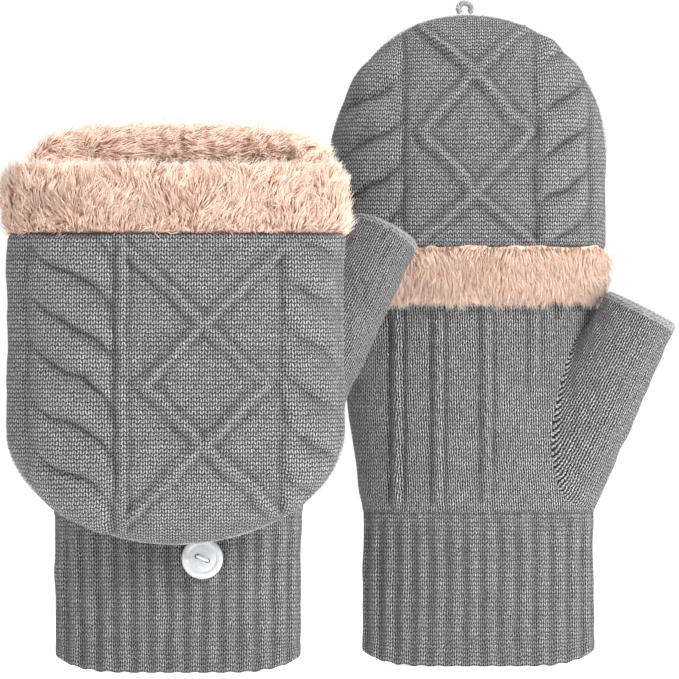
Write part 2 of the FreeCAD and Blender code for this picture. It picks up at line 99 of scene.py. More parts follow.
class Side(Enum):
    """The two mittens of the pair, each with the way its palm faces along the row's Y."""

    LEFT = ("left", 1.0)
    RIGHT = ("right", -1.0)

    @property
    def prefix(self) -> str:
        """Word that starts the names of this mitten's nodes."""
        return self.value[0]

    @property
    def palm(self) -> float:
        """+1 where the palm faces +Y, -1 where it faces -Y."""
        return self.value[1]


class Slot(Enum):
    """The record's material slots."""

    RIB = "rib_knit"
    PALM = "palm_knit"
    THUMB = "thumb_knit"
    CAP = "cap_knit"
    EDGE = "edge_yarn"
    SEAM = "seam_yarn"
    LOOP = "loop_yarn"
    PLUSH = "plush"
    BUTTON = "button_white"
    THREAD = "sewing_thread"


# ---------------------------------------------------------------------------------------- finishes
class Graph:
    """Short calls for building one material's nodes."""

    def __init__(self, name: str) -> None:
        """Start an empty material.

        Args:
            name: the material's name.
        """
        self.material = bpy.data.materials.new(name)
        self.material.use_nodes = True
        self.tree = self.material.node_tree
        self.tree.nodes.clear()
        self.output = self.tree.nodes.new("ShaderNodeOutputMaterial")
        self.shader = self.tree.nodes.new("ShaderNodeBsdfPrincipled")
        self.tree.links.new(self.shader.outputs[0], self.output.inputs[0])

    def node(self, kind: str, **settings: object) -> bpy.types.Node:
        """Add a node.

        Args:
            kind: the node's type without its ShaderNode prefix.
            settings: attributes to set on it.

        Returns:
            The new node.
        """
        node = self.tree.nodes.new("ShaderNode" + kind)
        for key, value in settings.items():
            setattr(node, key, value)
        return node

    def feed(self, socket: bpy.types.NodeSocket, value: object) -> None:
        """Link a socket to another, or set its value."""
        if isinstance(value, bpy.types.NodeSocket):
            self.tree.links.new(value, socket)
        else:
            socket.default_value = value

    def math(
        self, operation: str, first: object, second: object = 0.0, third: object = 0.0
    ) -> bpy.types.NodeSocket:
        """Combine numbers with one Math node.

        Args:
            operation: the node's operation.
            first: first number or socket.
            second: second number or socket.
            third: third number or socket, where the operation has one.

        Returns:
            The result's socket.
        """
        node = self.node("Math", operation=operation)
        for socket, value in zip(node.inputs, (first, second, third)):
            self.feed(socket, value)
        return node.outputs[0]

    def combine(self, x: object, y: object, z: object = 0.0) -> bpy.types.NodeSocket:
        """Make a vector of three numbers or sockets."""
        node = self.node("CombineXYZ")
        for socket, value in zip(node.inputs, (x, y, z)):
            self.feed(socket, value)
        return node.outputs[0]

    def noise(
        self, vector: object, scale: float, detail: float = 3.0, roughness: float = 0.5
    ) -> bpy.types.NodeSocket:
        """Fractal noise on a vector.

        Args:
            vector: the vector's socket.
            scale: cycles per unit.
            detail: octaves.
            roughness: how strong the finer octaves are.

        Returns:
            The noise, about 0.5 on average.
        """
        node = self.node("TexNoise")
        self.feed(node.inputs["Vector"], vector)
        node.inputs["Scale"].default_value = scale
        node.inputs["Detail"].default_value = detail
        node.inputs["Roughness"].default_value = roughness
        return node.outputs["Fac"]

    def ramp(
        self, factor: object, stops: tuple[tuple[float, tuple[float, float, float]], ...]
    ) -> bpy.types.NodeSocket:
        """Colour ramp.

        Args:
            factor: where to read the ramp.
            stops: pairs of position and colour.

        Returns:
            The colour's socket.
        """
        node = self.node("ValToRGB")
        elements = node.color_ramp.elements
        while len(elements) < len(stops):
            elements.new(0.5)
        for element, (position, colour) in zip(elements, stops):
            element.position = position
            element.color = (*colour, 1.0)
        self.feed(node.inputs[0], factor)
        return node.outputs[0]

    def mix(self, factor: object, first: object, second: object, blend: str = "MIX") -> bpy.types.NodeSocket:
        """Mix two colours.

        Args:
            factor: share of the second colour.
            first: first colour or socket.
            second: second colour or socket.
            blend: how the two combine.

        Returns:
            The colour's socket.
        """
        node = self.node("Mix", data_type="RGBA", blend_type=blend)
        self.feed(node.inputs[0], factor)
        self.feed(node.inputs[6], first)
        self.feed(node.inputs[7], second)
        return node.outputs[2]

    def bump(self, height: object, distance: float, strength: float = 1.0) -> None:
        """Bump the shader's normal.

        Args:
            height: height from 0 to 1.
            distance: metres that a height of 1 stands for.
            strength: share of the effect.
        """
        node = self.node("Bump")
        node.inputs["Strength"].default_value = strength
        node.inputs["Distance"].default_value = distance
        self.feed(node.inputs["Height"], height)
        self.tree.links.new(node.outputs[0], self.shader.inputs["Normal"])

    def set(self, **values: float) -> None:
        """Set the shader's own sockets by name, with underscores for spaces."""
        for key, value in values.items():
            self.shader.inputs[key.replace("_", " ")].default_value = value


@dataclass(frozen=True)
class KnitFinish:
    """Melange yarn knitted in plain stitch, drawn on a UV map whose unit is one stitch, with painted shade in
    its stitch holes, grooves and rib valleys and painted highlight on its ridges.

    Attributes:
        name: the material's name.
        shade: overall lightness of the yarn.
        lean: how far a stitch's legs rise from its middle to its sides, in stitches.
        relief: height of a stitch, in millimetres.
        gap: lightness of the painted shade in the holes between the legs.
        contrast: strength of the melange.
        rib: whether every other pair of wales lies back as purl, with painted shade darkening those purl
            valleys.
        wale_gap: how sharply stitches fall away between wales.
        course_gap: how sharply they fall away between courses.
    """

    name: str
    shade: float = 1.0
    lean: float = 0.62
    relief: float = 0.95
    gap: float = 0.05
    contrast: float = 1.0
    rib: bool = False
    wale_gap: float = 5.6
    course_gap: float = 4.9

    def build(self) -> bpy.types.Material:
        """Make the material.

        Returns:
            The finished material.
        """
        graph = Graph(self.name)
        uv = graph.node("UVMap", uv_map="stitches").outputs[0]
        wobble = graph.math("SUBTRACT", graph.noise(uv, 0.55, 2.0), 0.5)
        split = graph.node("SeparateXYZ")
        graph.feed(split.inputs[0], uv)
        across = graph.math("ADD", split.outputs[0], graph.math("MULTIPLY", wobble, 0.5))
        along = graph.math("ADD", split.outputs[1], graph.math("MULTIPLY", wobble, 0.7))
        side = graph.math("SUBTRACT", graph.math("FRACT", across), 0.5)
        leg = graph.math("MULTIPLY", graph.math("ABSOLUTE", side), 2.0)
        risen = graph.math("SUBTRACT", along, graph.math("MULTIPLY", leg, self.lean))
        step = graph.math("FRACT", risen)
        off_leg = graph.math("SUBTRACT", leg, 0.5)
        off_step = graph.math("SUBTRACT", step, 0.5)
        round_leg = graph.math("MULTIPLY", graph.math("MULTIPLY", off_leg, off_leg), self.wale_gap)
        round_step = graph.math("MULTIPLY", graph.math("MULTIPLY", off_step, off_step), self.course_gap)
        body = graph.math("SUBTRACT", graph.math("SUBTRACT", 1.0, round_leg), round_step)
        height = graph.math("SQRT", graph.math("MAXIMUM", body, 0.0))
        cell = graph.combine(
            graph.math("FLOOR", graph.math("MULTIPLY", across, 2.0)), graph.math("FLOOR", risen), 0.0
        )
        fleck_node = graph.node("TexWhiteNoise", noise_dimensions="3D")
        graph.feed(fleck_node.inputs["Vector"], cell)
        fibre_map = graph.combine(
            graph.math("MULTIPLY", across, 5.0), graph.math("MULTIPLY", risen, 1.7), 0.0
        )
        fibre = graph.noise(fibre_map, 1.9, 3.0, 0.7)
        cloud = graph.noise(uv, 0.09, 2.0)
        tone = graph.math("MULTIPLY", graph.math("SUBTRACT", fibre, 0.5), 2.9 * self.contrast)
        flecks = graph.math("MULTIPLY", fleck_node.outputs["Value"], 0.16 * self.contrast)
        tone = graph.math("ADD", tone, flecks)
        tone = graph.math("ADD", tone, graph.math("MULTIPLY", cloud, 0.16))
        tone = graph.math("ADD", tone, 0.36)
        shade = self.shade
        yarn = graph.ramp(
            tone,
            (
                (0.0, (0.075 * shade, 0.074 * shade, 0.077 * shade)),
                (0.42, (0.25 * shade, 0.247 * shade, 0.254 * shade)),
                (0.72, (0.47 * shade, 0.465 * shade, 0.475 * shade)),
                (1.0, (0.85 * shade, 0.845 * shade, 0.855 * shade)),
            ),
        )
        # Painted shade in the rib's purl valleys: every other pair of wales is darkened towards near black.
        if self.rib:
            wave = graph.math("COSINE", graph.math("MULTIPLY", split.outputs[0], math.pi / 2))
            raised = graph.node("MapRange", interpolation_type="SMOOTHSTEP")
            graph.feed(raised.inputs["Value"], wave)
            raised.inputs["From Min"].default_value = -0.55
            raised.inputs["From Max"].default_value = 0.25
            raised.inputs["To Min"].default_value = 0.72
            yarn = graph.mix(graph.math("SUBTRACT", 1.0, raised.outputs[0]), yarn, (0.05, 0.05, 0.052, 1.0))
        # Painted shade in the relief's grooves and painted highlight on its ridges, read from the hollow
        # attribute.
        shade_and_highlight_mask = graph.node("Attribute", attribute_name="hollow").outputs["Fac"]
        shadow = graph.math("MULTIPLY", graph.math("MAXIMUM", shade_and_highlight_mask, 0.0), 0.62)
        yarn = graph.mix(shadow, yarn, (0.045, 0.044, 0.046, 1.0))
        painted_ridge_highlight = graph.math("MULTIPLY", graph.math("MINIMUM", shade_and_highlight_mask, 0.0), -0.16)
        yarn = graph.mix(painted_ridge_highlight, yarn, (0.8, 0.79, 0.8, 1.0))
        # Painted shade in the holes between the stitch legs: the yarn is darkened by gap where the stitch's
        # height falls away.
        hollow = graph.mix(1.0, yarn, (self.gap, self.gap, self.gap * 1.04, 1.0), "MULTIPLY")
        fill = graph.math("MULTIPLY", graph.math("POWER", height, 0.8), 1.12)
        graph.feed(graph.shader.inputs["Base Color"], graph.mix(fill, hollow, yarn))
        fuzz = graph.math("MULTIPLY", graph.math("SUBTRACT", fibre, 0.5), 0.42)
        graph.bump(graph.math("ADD", height, fuzz), self.relief * MM)
        graph.set(Roughness=0.86, Specular_IOR_Level=0.22, Sheen_Weight=0.22, Sheen_Roughness=0.45)
        return graph.material


@dataclass(frozen=True)
class YarnFinish:
    """Loose or sewn yarn, twisted, without stitches.

    Attributes:
        name: the material's name.
        dark: colour of the yarn's dark fibres.
        light: colour of its light fibres.
        scale: flecks per metre.
    """

    name: str
    dark: tuple[float, float, float]
    light: tuple[float, float, float]
    scale: float = 1500.0

    def build(self) -> bpy.types.Material:
        """Make the material.

        Returns:
            The finished material.
        """
        graph = Graph(self.name)
        place = graph.node("TexCoord").outputs["Object"]
        fleck = graph.noise(place, self.scale, 4.0, 0.7)
        patch = graph.noise(place, self.scale * 0.3, 2.0)
        tone = graph.math("ADD", graph.math("MULTIPLY", fleck, 0.8), graph.math("MULTIPLY", patch, 0.35))
        graph.feed(
            graph.shader.inputs["Base Color"], graph.ramp(tone, ((0.38, self.dark), (0.78, self.light)))
        )
        graph.bump(fleck, 0.18 * MM)
        graph.set(Roughness=0.85, Specular_IOR_Level=0.22, Sheen_Weight=0.2, Sheen_Roughness=0.45)
        return graph.material


@dataclass(frozen=True)
class PlushFinish:
    """Long-pile plush: darker at the roots and paler at the tips, as painted shade between the strands and
    painted light on the tips.

    Attributes:
        name: the material's name.
        root: colour between the strands, darkened as painted shade.
        middle: colour half way up.
        tip: colour of the tips, lightened as painted light.
    """

    name: str
    root: tuple[float, float, float] = (0.60, 0.29, 0.185)
    middle: tuple[float, float, float] = (0.84, 0.52, 0.375)
    tip: tuple[float, float, float] = (0.95, 0.71, 0.57)

    def build(self) -> bpy.types.Material:
        """Make the material.

        Returns:
            The finished material.
        """
        graph = Graph(self.name)
        pile = graph.node("Attribute", attribute_name="pile").outputs["Fac"]
        tint = graph.node("Attribute", attribute_name="tint").outputs["Fac"]
        place = graph.node("TexCoord").outputs["Object"]
        cloud = graph.noise(place, 70.0, 2.0)
        fine = graph.noise(place, 900.0, 3.0)
        # Colour runs from painted shade at the roots to painted light at the tips along the pile attribute.
        level = graph.math("ADD", graph.math("MULTIPLY", pile, 0.72), graph.math("MULTIPLY", tint, 0.2))
        level = graph.math("ADD", level, graph.math("MULTIPLY", graph.math("SUBTRACT", cloud, 0.5), 0.35))
        level = graph.math("ADD", level, graph.math("MULTIPLY", graph.math("SUBTRACT", fine, 0.5), 0.18))
        colour = graph.ramp(level, ((0.05, self.root), (0.42, self.middle), (0.9, self.tip)))
        graph.feed(graph.shader.inputs["Base Color"], colour)
        graph.set(
            Roughness=0.8, Specular_IOR_Level=0.18, Sheen_Weight=0.3, Sheen_Roughness=0.4,
            Subsurface_Weight=0.3, Subsurface_Scale=0.003,
        )
        graph.shader.inputs["Subsurface Radius"].default_value = (1.0, 0.55, 0.4)
        return graph.material


@dataclass(frozen=True)
class ButtonFinish:
    """Polished, slightly pearly plastic."""

    name: str = "button_plastic"

    def build(self) -> bpy.types.Material:
        """Make the material.

        Returns:
            The finished material.
        """
        graph = Graph(self.name)
        place = graph.node("TexCoord").outputs["Object"]
        swirl = graph.noise(place, 160.0, 3.0, 0.6)
        colour = graph.ramp(swirl, ((0.3, (0.50, 0.50, 0.51)), (0.7, (0.62, 0.62, 0.625))))
        graph.feed(graph.shader.inputs["Base Color"], colour)
        rough = graph.node("MapRange")
        graph.feed(rough.inputs["Value"], graph.noise(place, 900.0, 3.0))
        rough.inputs["To Min"].default_value = 0.2
        rough.inputs["To Max"].default_value = 0.34
        graph.feed(graph.shader.inputs["Roughness"], rough.outputs[0])
        graph.bump(graph.noise(place, 500.0, 2.0), 0.02 * MM)
        graph.set(Specular_IOR_Level=0.5, Coat_Weight=0.35, Coat_Roughness=0.12, Subsurface_Weight=0.1)
        return graph.material


class Finishes:
    """Every finish of the pair, made once."""

    def __init__(self) -> None:
        """Build the materials."""
        grey_dark = (0.10, 0.098, 0.104)
        grey_light = (0.52, 0.512, 0.52)
        self.materials: dict[str, bpy.types.Material] = {}
        knit = (
            KnitFinish("cap_knit_left", shade=1.04, contrast=1.3, relief=1.05),
            KnitFinish("cap_knit_right", shade=1.06, contrast=1.3, relief=1.05),
            KnitFinish(
                "palm_knit_fine", shade=1.14, lean=0.85, relief=1.1, gap=0.02, contrast=1.6,
                wale_gap=8.0, course_gap=3.8,
            ),
            KnitFinish(
                "rib_knit_grey", shade=1.05, relief=1.0, contrast=1.4, rib=True, wale_gap=6.6, course_gap=4.2
            ),
            KnitFinish(
                "thumb_knit_grey", shade=1.0, lean=0.85, relief=1.1, gap=0.02, contrast=1.6,
                wale_gap=8.0, course_gap=3.8,
            ),
        )
        for finish in knit:
            self.materials[finish.name] = finish.build()
        for finish in (
            PlushFinish("plush_peach"),
            # A darker copy of the peach plush for the linings: painted shade inside the mitten.
            PlushFinish("plush_lining_shaded", (0.45, 0.21, 0.13), (0.62, 0.37, 0.26), (0.80, 0.56, 0.43)),
            ButtonFinish(),
            YarnFinish("seam_yarn_grey", grey_dark, grey_light),
            YarnFinish("edge_yarn_grey", (0.11, 0.108, 0.113), (0.38, 0.373, 0.38)),
            YarnFinish("thread_white", (0.45, 0.45, 0.45), (0.85, 0.85, 0.84), 3000.0),
        ):
            self.materials[finish.name] = finish.build()

    def dress(self, piece: bpy.types.Object, name: str) -> None:
        """Give a piece one finish.

        Args:
            piece: the piece.
            name: the finish's name.
        """
        piece.data.materials.clear()
        piece.data.materials.append(self.materials[name])


# ---------------------------------------------------------------------------------------- bench
class Bench:
    """Modelling steps used by every piece."""

    @staticmethod
    def clear_selection() -> None:
        """Deselect every object."""
        for item in bpy.context.view_layer.objects:
            item.select_set(False)

    @classmethod
    def take(cls, item: bpy.types.Object) -> None:
        """Make one object the only one selected."""
        cls.clear_selection()
        item.select_set(True)
        bpy.context.view_layer.objects.active = item

    @classmethod
    def panel(
        cls, name: str, points: Array, stitches: Array | None = None, hollow: Array | None = None
    ) -> bpy.types.Object:
        """Shape a flat grid into a surface.

        Args:
            name: the object's name.
            points: positions in metres, rows by columns by 3.
            stitches: the stitch map, rows by columns by 2, if the surface has one.
            hollow: how sunken each point is, from -1 on a ridge to 1 in a groove, if that is known; it is
                stored as the mask for painted shade in grooves and painted highlight on ridges.

        Returns:
            The shaped panel.
        """
        rows, columns = points.shape[:2]
        cls.clear_selection()
        bpy.ops.mesh.primitive_grid_add(
            x_subdivisions=columns - 1, y_subdivisions=rows - 1, size=1.0, calc_uvs=True
        )
        item = bpy.context.active_object
        item.name = name
        mesh = item.data
        mesh.name = name
        flat = np.empty(len(mesh.vertices) * 3, np.float32)
        mesh.vertices.foreach_get("co", flat)
        flat = flat.reshape(-1, 3)
        column = np.rint((flat[:, 0] + 0.5) * (columns - 1)).astype(int)
        row = np.rint((flat[:, 1] + 0.5) * (rows - 1)).astype(int)
        mesh.vertices.foreach_set("co", points[row, column].astype(np.float32).ravel())
        layer = mesh.uv_layers.active
        layer.name = "stitches"
        if stitches is not None:
            corner = np.empty(len(mesh.loops), np.int32)
            mesh.loops.foreach_get("vertex_index", corner)
            layer.data.foreach_set("uv", stitches[row[corner], column[corner]].astype(np.float32).ravel())
        # The hollow attribute is the mask for painted shade in grooves and painted highlight on ridges.
        if hollow is not None:
            depth = mesh.attributes.new("hollow", "FLOAT", "POINT")
            depth.data.foreach_set("value", hollow[row, column].astype(np.float32))
        mesh.update()
        return item

    @classmethod
    def join(cls, name: str, parts: list[bpy.types.Object]) -> bpy.types.Object:
        """Join parts into one object.

        Args:
            name: the joined object's name.
            parts: the parts, the first of which is kept.

        Returns:
            The joined object.
        """
        cls.clear_selection()
        for part in parts:
            part.select_set(True)
        bpy.context.view_layer.objects.active = parts[0]
        if len(parts) > 1:
            bpy.ops.object.join()
        parts[0].name = name
        parts[0].data.name = name
        return parts[0]

    @classmethod
    def close(cls, item: bpy.types.Object, gap: float = 0.002 * MM) -> bpy.types.Object:
        """Merge the seams of a closed shell and turn its faces outwards.

        Args:
            item: the shell.
            gap: how close points are to be merged, in metres.

        Returns:
            The same object.
        """
        cls.take(item)
        bpy.ops.object.mode_set(mode="EDIT")
        bpy.ops.mesh.select_all(action="SELECT")
        bpy.ops.mesh.remove_doubles(threshold=gap)
        bpy.ops.mesh.normals_make_consistent(inside=False)
        bpy.ops.object.mode_set(mode="OBJECT")
        bpy.ops.object.shade_smooth()
        return item


def smooth_steps(at: Array, knots: Array, values: Array) -> Array:
    """Interpolate without overshoot, with level tangents at local extremes.

    Args:
        at: where to read.
        knots: rising positions.
        values: values at the knots.

    Returns:
        The interpolated values.
    """
    gaps = np.diff(knots)
    slopes = np.diff(values) / gaps
    tangents = np.zeros(len(knots))
    tangents[0] = slopes[0]
    tangents[-1] = slopes[-1]
    for k in range(1, len(knots) - 1):
        if slopes[k - 1] * slopes[k] > 0:
            tangents[k] = 2 * slopes[k - 1] * slopes[k] / (slopes[k - 1] + slopes[k])
    spot = np.clip(at, knots[0], knots[-1])
    index = np.clip(np.searchsorted(knots, spot) - 1, 0, len(gaps) - 1)
    t = (spot - knots[index]) / gaps[index]
    a = values[index] * (1 + 2 * t) * (1 - t) ** 2
    b = tangents[index] * gaps[index] * t * (1 - t) ** 2
    c = values[index + 1] * t * t * (3 - 2 * t)
    d = tangents[index + 1] * gaps[index] * t * t * (t - 1)
    return a + b + c + d


def drift(x: Array, z: Array, seed: int, size: float) -> Array:
    """Soft unevenness of cloth, about -1 to 1.

    Args:
        x: first coordinate in millimetres.
        z: second coordinate in millimetres.
        seed: which pattern.
        size: length of the largest waves in millimetres.

    Returns:
        The unevenness at each point.
    """
    rng = np.random.default_rng(seed)
    total = np.zeros(np.broadcast(x, z).shape)
    for octave in range(5):
        turn = rng.uniform(0, 2 * math.pi)
        wave = size / (1.0 + 0.6 * octave)
        phase = rng.uniform(0, 2 * math.pi, 2)
        along = (x * math.cos(turn) + z * math.sin(turn)) * 2 * math.pi / wave
        across = (z * math.cos(turn) - x * math.sin(turn)) * 2 * math.pi / (wave * 1.3)
        total = total + np.sin(along + phase[0]) * np.cos(across + phase[1]) / (1.0 + 0.5 * octave)
    return total / 2.2


@dataclass
class Girth:
    """An oval section's shape: where each column of a surface stands round it.

    Attributes:
        columns: places round the section as shares of its length, from the thumb side over the palm.
        aspect: depth over width, used to space the columns evenly.
        power: 2 for an ellipse, more for a fuller section.
    """

    columns: Array
    aspect: float
    power: float = 2.25

    def directions(self) -> tuple[Array, Array]:
        """Unit offsets of each column.

        Returns:
            Offsets across and through the section, from -1 to 1.
        """
        turn = np.linspace(0, 2 * math.pi, 2881)
        across = np.sign(np.cos(turn)) * np.abs(np.cos(turn)) ** (2 / self.power)
        through = np.sign(np.sin(turn)) * np.abs(np.sin(turn)) ** (2 / self.power)
        step = np.hypot(np.diff(across), np.diff(through) * self.aspect)
        length = np.concatenate([[0.0], np.cumsum(step)])
        length /= length[-1]
        at = np.interp(self.columns, length, turn)
        return (
            np.sign(np.cos(at)) * np.abs(np.cos(at)) ** (2 / self.power),
            np.sign(np.sin(at)) * np.abs(np.sin(at)) ** (2 / self.power),
        )


def split_columns(palm: int, back: int) -> Array:
    """Columns that are close on the palm side and sparse on the back.

    Args:
        palm: columns on the palm side.
        back: columns on the back.

    Returns:
        Shares of the girth from 0 to 1.
    """
    return np.concatenate([np.linspace(0, 0.5, palm, endpoint=False), np.linspace(0.5, 1.0, back + 1)])


def surface_normals(points: Array) -> Array:
    """Outward normals of a grid whose columns go round it.

    Args:
        points: rows by columns by 3, the last column the same as the first.

    Returns:
        Unit normals, pointing away from the rows' middles.
    """
    down = np.gradient(points, axis=0)
    ring = np.concatenate([points[:, -2:-1], points, points[:, 1:2]], axis=1)
    around = (ring[:, 2:] - ring[:, :-2]) / 2
    normal = np.cross(around, down)
    length = np.linalg.norm(normal, axis=2, keepdims=True)
    normal = normal / np.maximum(length, 1e-9)
    outward = points - points.mean(axis=1, keepdims=True)
    if (normal * outward).sum() < 0:
        normal = -normal
    return normal


@dataclass
class Place:
    """Where a mitten's own frame lies in the row's frame.

    Attributes:
        side: which mitten.
        hinge: the cap's hinge point in metres, which gives the frame's x and y, and the hinge's height.
    """

    side: Side
    hinge: Vector

    @property
    def hinge_z(self) -> float:
        """Height of the hinge in millimetres."""
        return self.hinge.z / MM

    def to_row(self, points: Array) -> Array:
        """Take points from the mitten's frame to the row's.

        Args:
            points: positions in millimetres.

        Returns:
            Positions in metres.
        """
        out = np.empty_like(points, dtype=float)
        out[..., 0] = self.hinge.x + points[..., 0] * MM
        out[..., 1] = self.hinge.y + self.side.palm * points[..., 1] * MM
        out[..., 2] = points[..., 2] * MM
        return out

    def fold(self, points: Array) -> Array:
        """Turn points of the closed cap half round about the hinge.

        Args:
            points: positions in millimetres.

        Returns:
            Positions with the cap folded back.
        """
        out = points.copy()
        out[..., 1] = -points[..., 1]
        out[..., 2] = 2 * self.hinge_z - points[..., 2]
        return out

    def node(self, piece: str) -> str:
        """Name of this mitten's node for a piece."""
        return f"{self.side.prefix}_{piece}"

    def span(self, piece: str) -> tuple[Array, Array]:
        """Lowest and highest corner of a node in the mitten's own millimetres.

        Args:
            piece: the node's name without its side.

        Returns:
            The two corners, with y measured towards the palm.
        """
        low, high = (np.array(corner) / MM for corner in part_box(self.node(piece)))
        origin = np.array((self.hinge.x / MM, self.hinge.y / MM, 0.0))
        low, high = low - origin, high - origin
        if self.side.palm < 0:
            low[1], high[1] = -high[1], -low[1]
        return low, high


def blend_edge(value: Array, start: float, end: float) -> Array:
    """Rise smoothly from 0 at start to 1 at end."""
    t = np.clip((value - start) / (end - start), 0.0, 1.0)
    return t * t * (3 - 2 * t)


def ridge(distance: Array, width: float) -> Array:
    """Rounded ridge about a line, 1 on the line and 0 well away from it."""
    return np.exp(-((distance / width) ** 2))


def hollows(push: Array | None, rows: int, shape: tuple[int, ...]) -> Array:
    """Find the hollows of a relief: points that lie below their surroundings, as the mask for painted shade
    in grooves and painted highlight on ridges.

    Args:
        push: the relief in millimetres, or None where the surface is plain.
        rows: rows of the inner wall, which stay level.
        shape: shape of the outer wall's grid.

    Returns:
        Values from -1 on a ridge to 1 in a groove, for the inner and the outer wall.
    """
    if push is None:
        return np.zeros((rows + shape[0], shape[1]))
    mean = push
    for reach in (3, 5, 7):
        for axis in (0, 1):
            pad = [(reach, reach) if k == axis else (0, 0) for k in (0, 1)]
            total = np.cumsum(np.pad(mean, pad, mode="edge"), axis=axis)
            span = push.shape[axis]
            ahead = np.take(total, range(2 * reach, 2 * reach + span), axis=axis)
            behind = np.take(total, range(0, span), axis=axis)
            mean = (ahead - behind) / (2 * reach)
    return np.concatenate([np.zeros((rows, shape[1])), np.clip((mean - push) / 1.1, -1, 1)])


# ---------------------------------------------------------------------------------------- relief
@dataclass(frozen=True)
class Cable:
    """A plait of leaf-shaped lobes that runs up a cap.

    Attributes:
        low_x: its left boundary, in millimetres across the cap.
        high_x: its right boundary.
        pitch: length of one lobe.
        slant: how far the grooves rise per millimetre to the right.
        phase: where the first groove lies.
        height: how far the lobes stand out.
        hook: how far the grooves turn along the cable at its edges.
        rib: width of the plain rib that runs along the boundary on the right, or 0.
    """

    low_x: float
    high_x: float
    pitch: float
    slant: float
    phase: float
    height: float = 3.6
    hook: float = 0.0
    rib: float = 0.0

    def relief(self, x: Array, z: Array) -> Array:
        """Height of the cable at each point, in millimetres."""
        middle = (self.low_x + self.high_x) / 2
        half = (self.high_x - self.low_x) / 2
        across = (x - middle) / half
        inside = np.clip(1 - across**2, 0, 1) ** 0.55
        bend = self.slant * (x - middle) + self.hook * across**3 + 1.2 * drift(x, z, 43, 31.0)
        turn = np.mod((z - bend - self.phase) / self.pitch, 1.0)
        lobes = self.height * inside * np.sin(math.pi * turn**0.8) ** 0.7
        groove = -0.8 * (ridge(x - self.low_x, 2.0) + ridge(x - self.high_x, 1.7))
        rail = 0.0
        if self.rib:
            rail = 0.9 * ridge(x - self.high_x - self.rib, self.rib * 0.7)
            groove = groove - 0.7 * ridge(x - self.high_x - 2 * self.rib, 1.3)
        return lobes + groove + rail


@dataclass(frozen=True)
class Lattice:
    """Raised travelling lines that cross in a diamond and run on beyond its points.

    Attributes:
        x: the diamond's middle across the cap, in millimetres.
        z: its middle height.
        half_width: half its width.
        half_height: half its height.
        spread: how fast the lines part beyond its points.
        reach: how far out the lines run, in half widths.
        height: how far the lines stand out.
        width: half the lines' width.
    """

    x: float
    z: float
    half_width: float
    half_height: float
    spread: float = 1.0
    reach: float = 1.35
    height: float = 1.9
    width: float = 1.35

    def relief(self, x: Array, z: Array) -> Array:
        """Height of the lines at each point, in millimetres."""
        across = np.abs(x - self.x) / self.half_width
        up = np.abs(z - self.z) / self.half_height - 1
        line = np.where(up > 0, up * self.spread, -up)
        line = np.sqrt(line**2 + 0.0009)
        slope = self.half_width / self.half_height
        distance = (across - line) * self.half_width / math.hypot(1.0, slope)
        fade = 1 - blend_edge(across, self.reach - 0.15, self.reach)
        beside = 0.45 * (ridge(np.abs(distance) - 3.0, 1.0))
        uneven = 0.8 + 0.3 * drift(x, z, 41, 26.0)
        return (self.height * ridge(distance, self.width) * uneven - beside) * fade


@dataclass(frozen=True)
class Pattern:
    """All the raised knitting of one cap's face.

    Attributes:
        lattice: the travelling lines.
        cables: the plaits either side.
    """

    lattice: Lattice
    cables: tuple[Cable, ...]

    def relief(self, x: Array, z: Array) -> Array:
        """Height of the pattern at each point, in millimetres."""
        total = self.lattice.relief(x, z)
        for cable in self.cables:
            total = total + cable.relief(x, z)
        return total


# ---------------------------------------------------------------------------------------- cloth forms
@dataclass
class Stitch:
    """Size of one stitch in millimetres."""

    width: float = 1.85
    height: float = 1.55


@dataclass
class Section:
    """Sections of a tube against height.

    Attributes:
        z: heights.
        width: full widths.
        depth: full depths.
        back: where each section's back lies in y.
        shift: how far each section is set away from the thumb.
    """

    z: Array
    width: Array
    depth: Array
    back: Array
    shift: Array

    def at(self, z: Array, inset: float = 0.0) -> tuple[Array, Array, Array, Array]:
        """Read the sections.

        Args:
            z: heights to read at.
            inset: how far inside the surface.

        Returns:
            Middle across, middle through, half width and half depth.
        """
        width = smooth_steps(z, self.z, self.width)
        depth = smooth_steps(z, self.z, self.depth)
        back = smooth_steps(z, self.z, self.back)
        shift = smooth_steps(z, self.z, self.shift)
        return -shift, back + depth / 2, width / 2 - inset, depth / 2 - inset


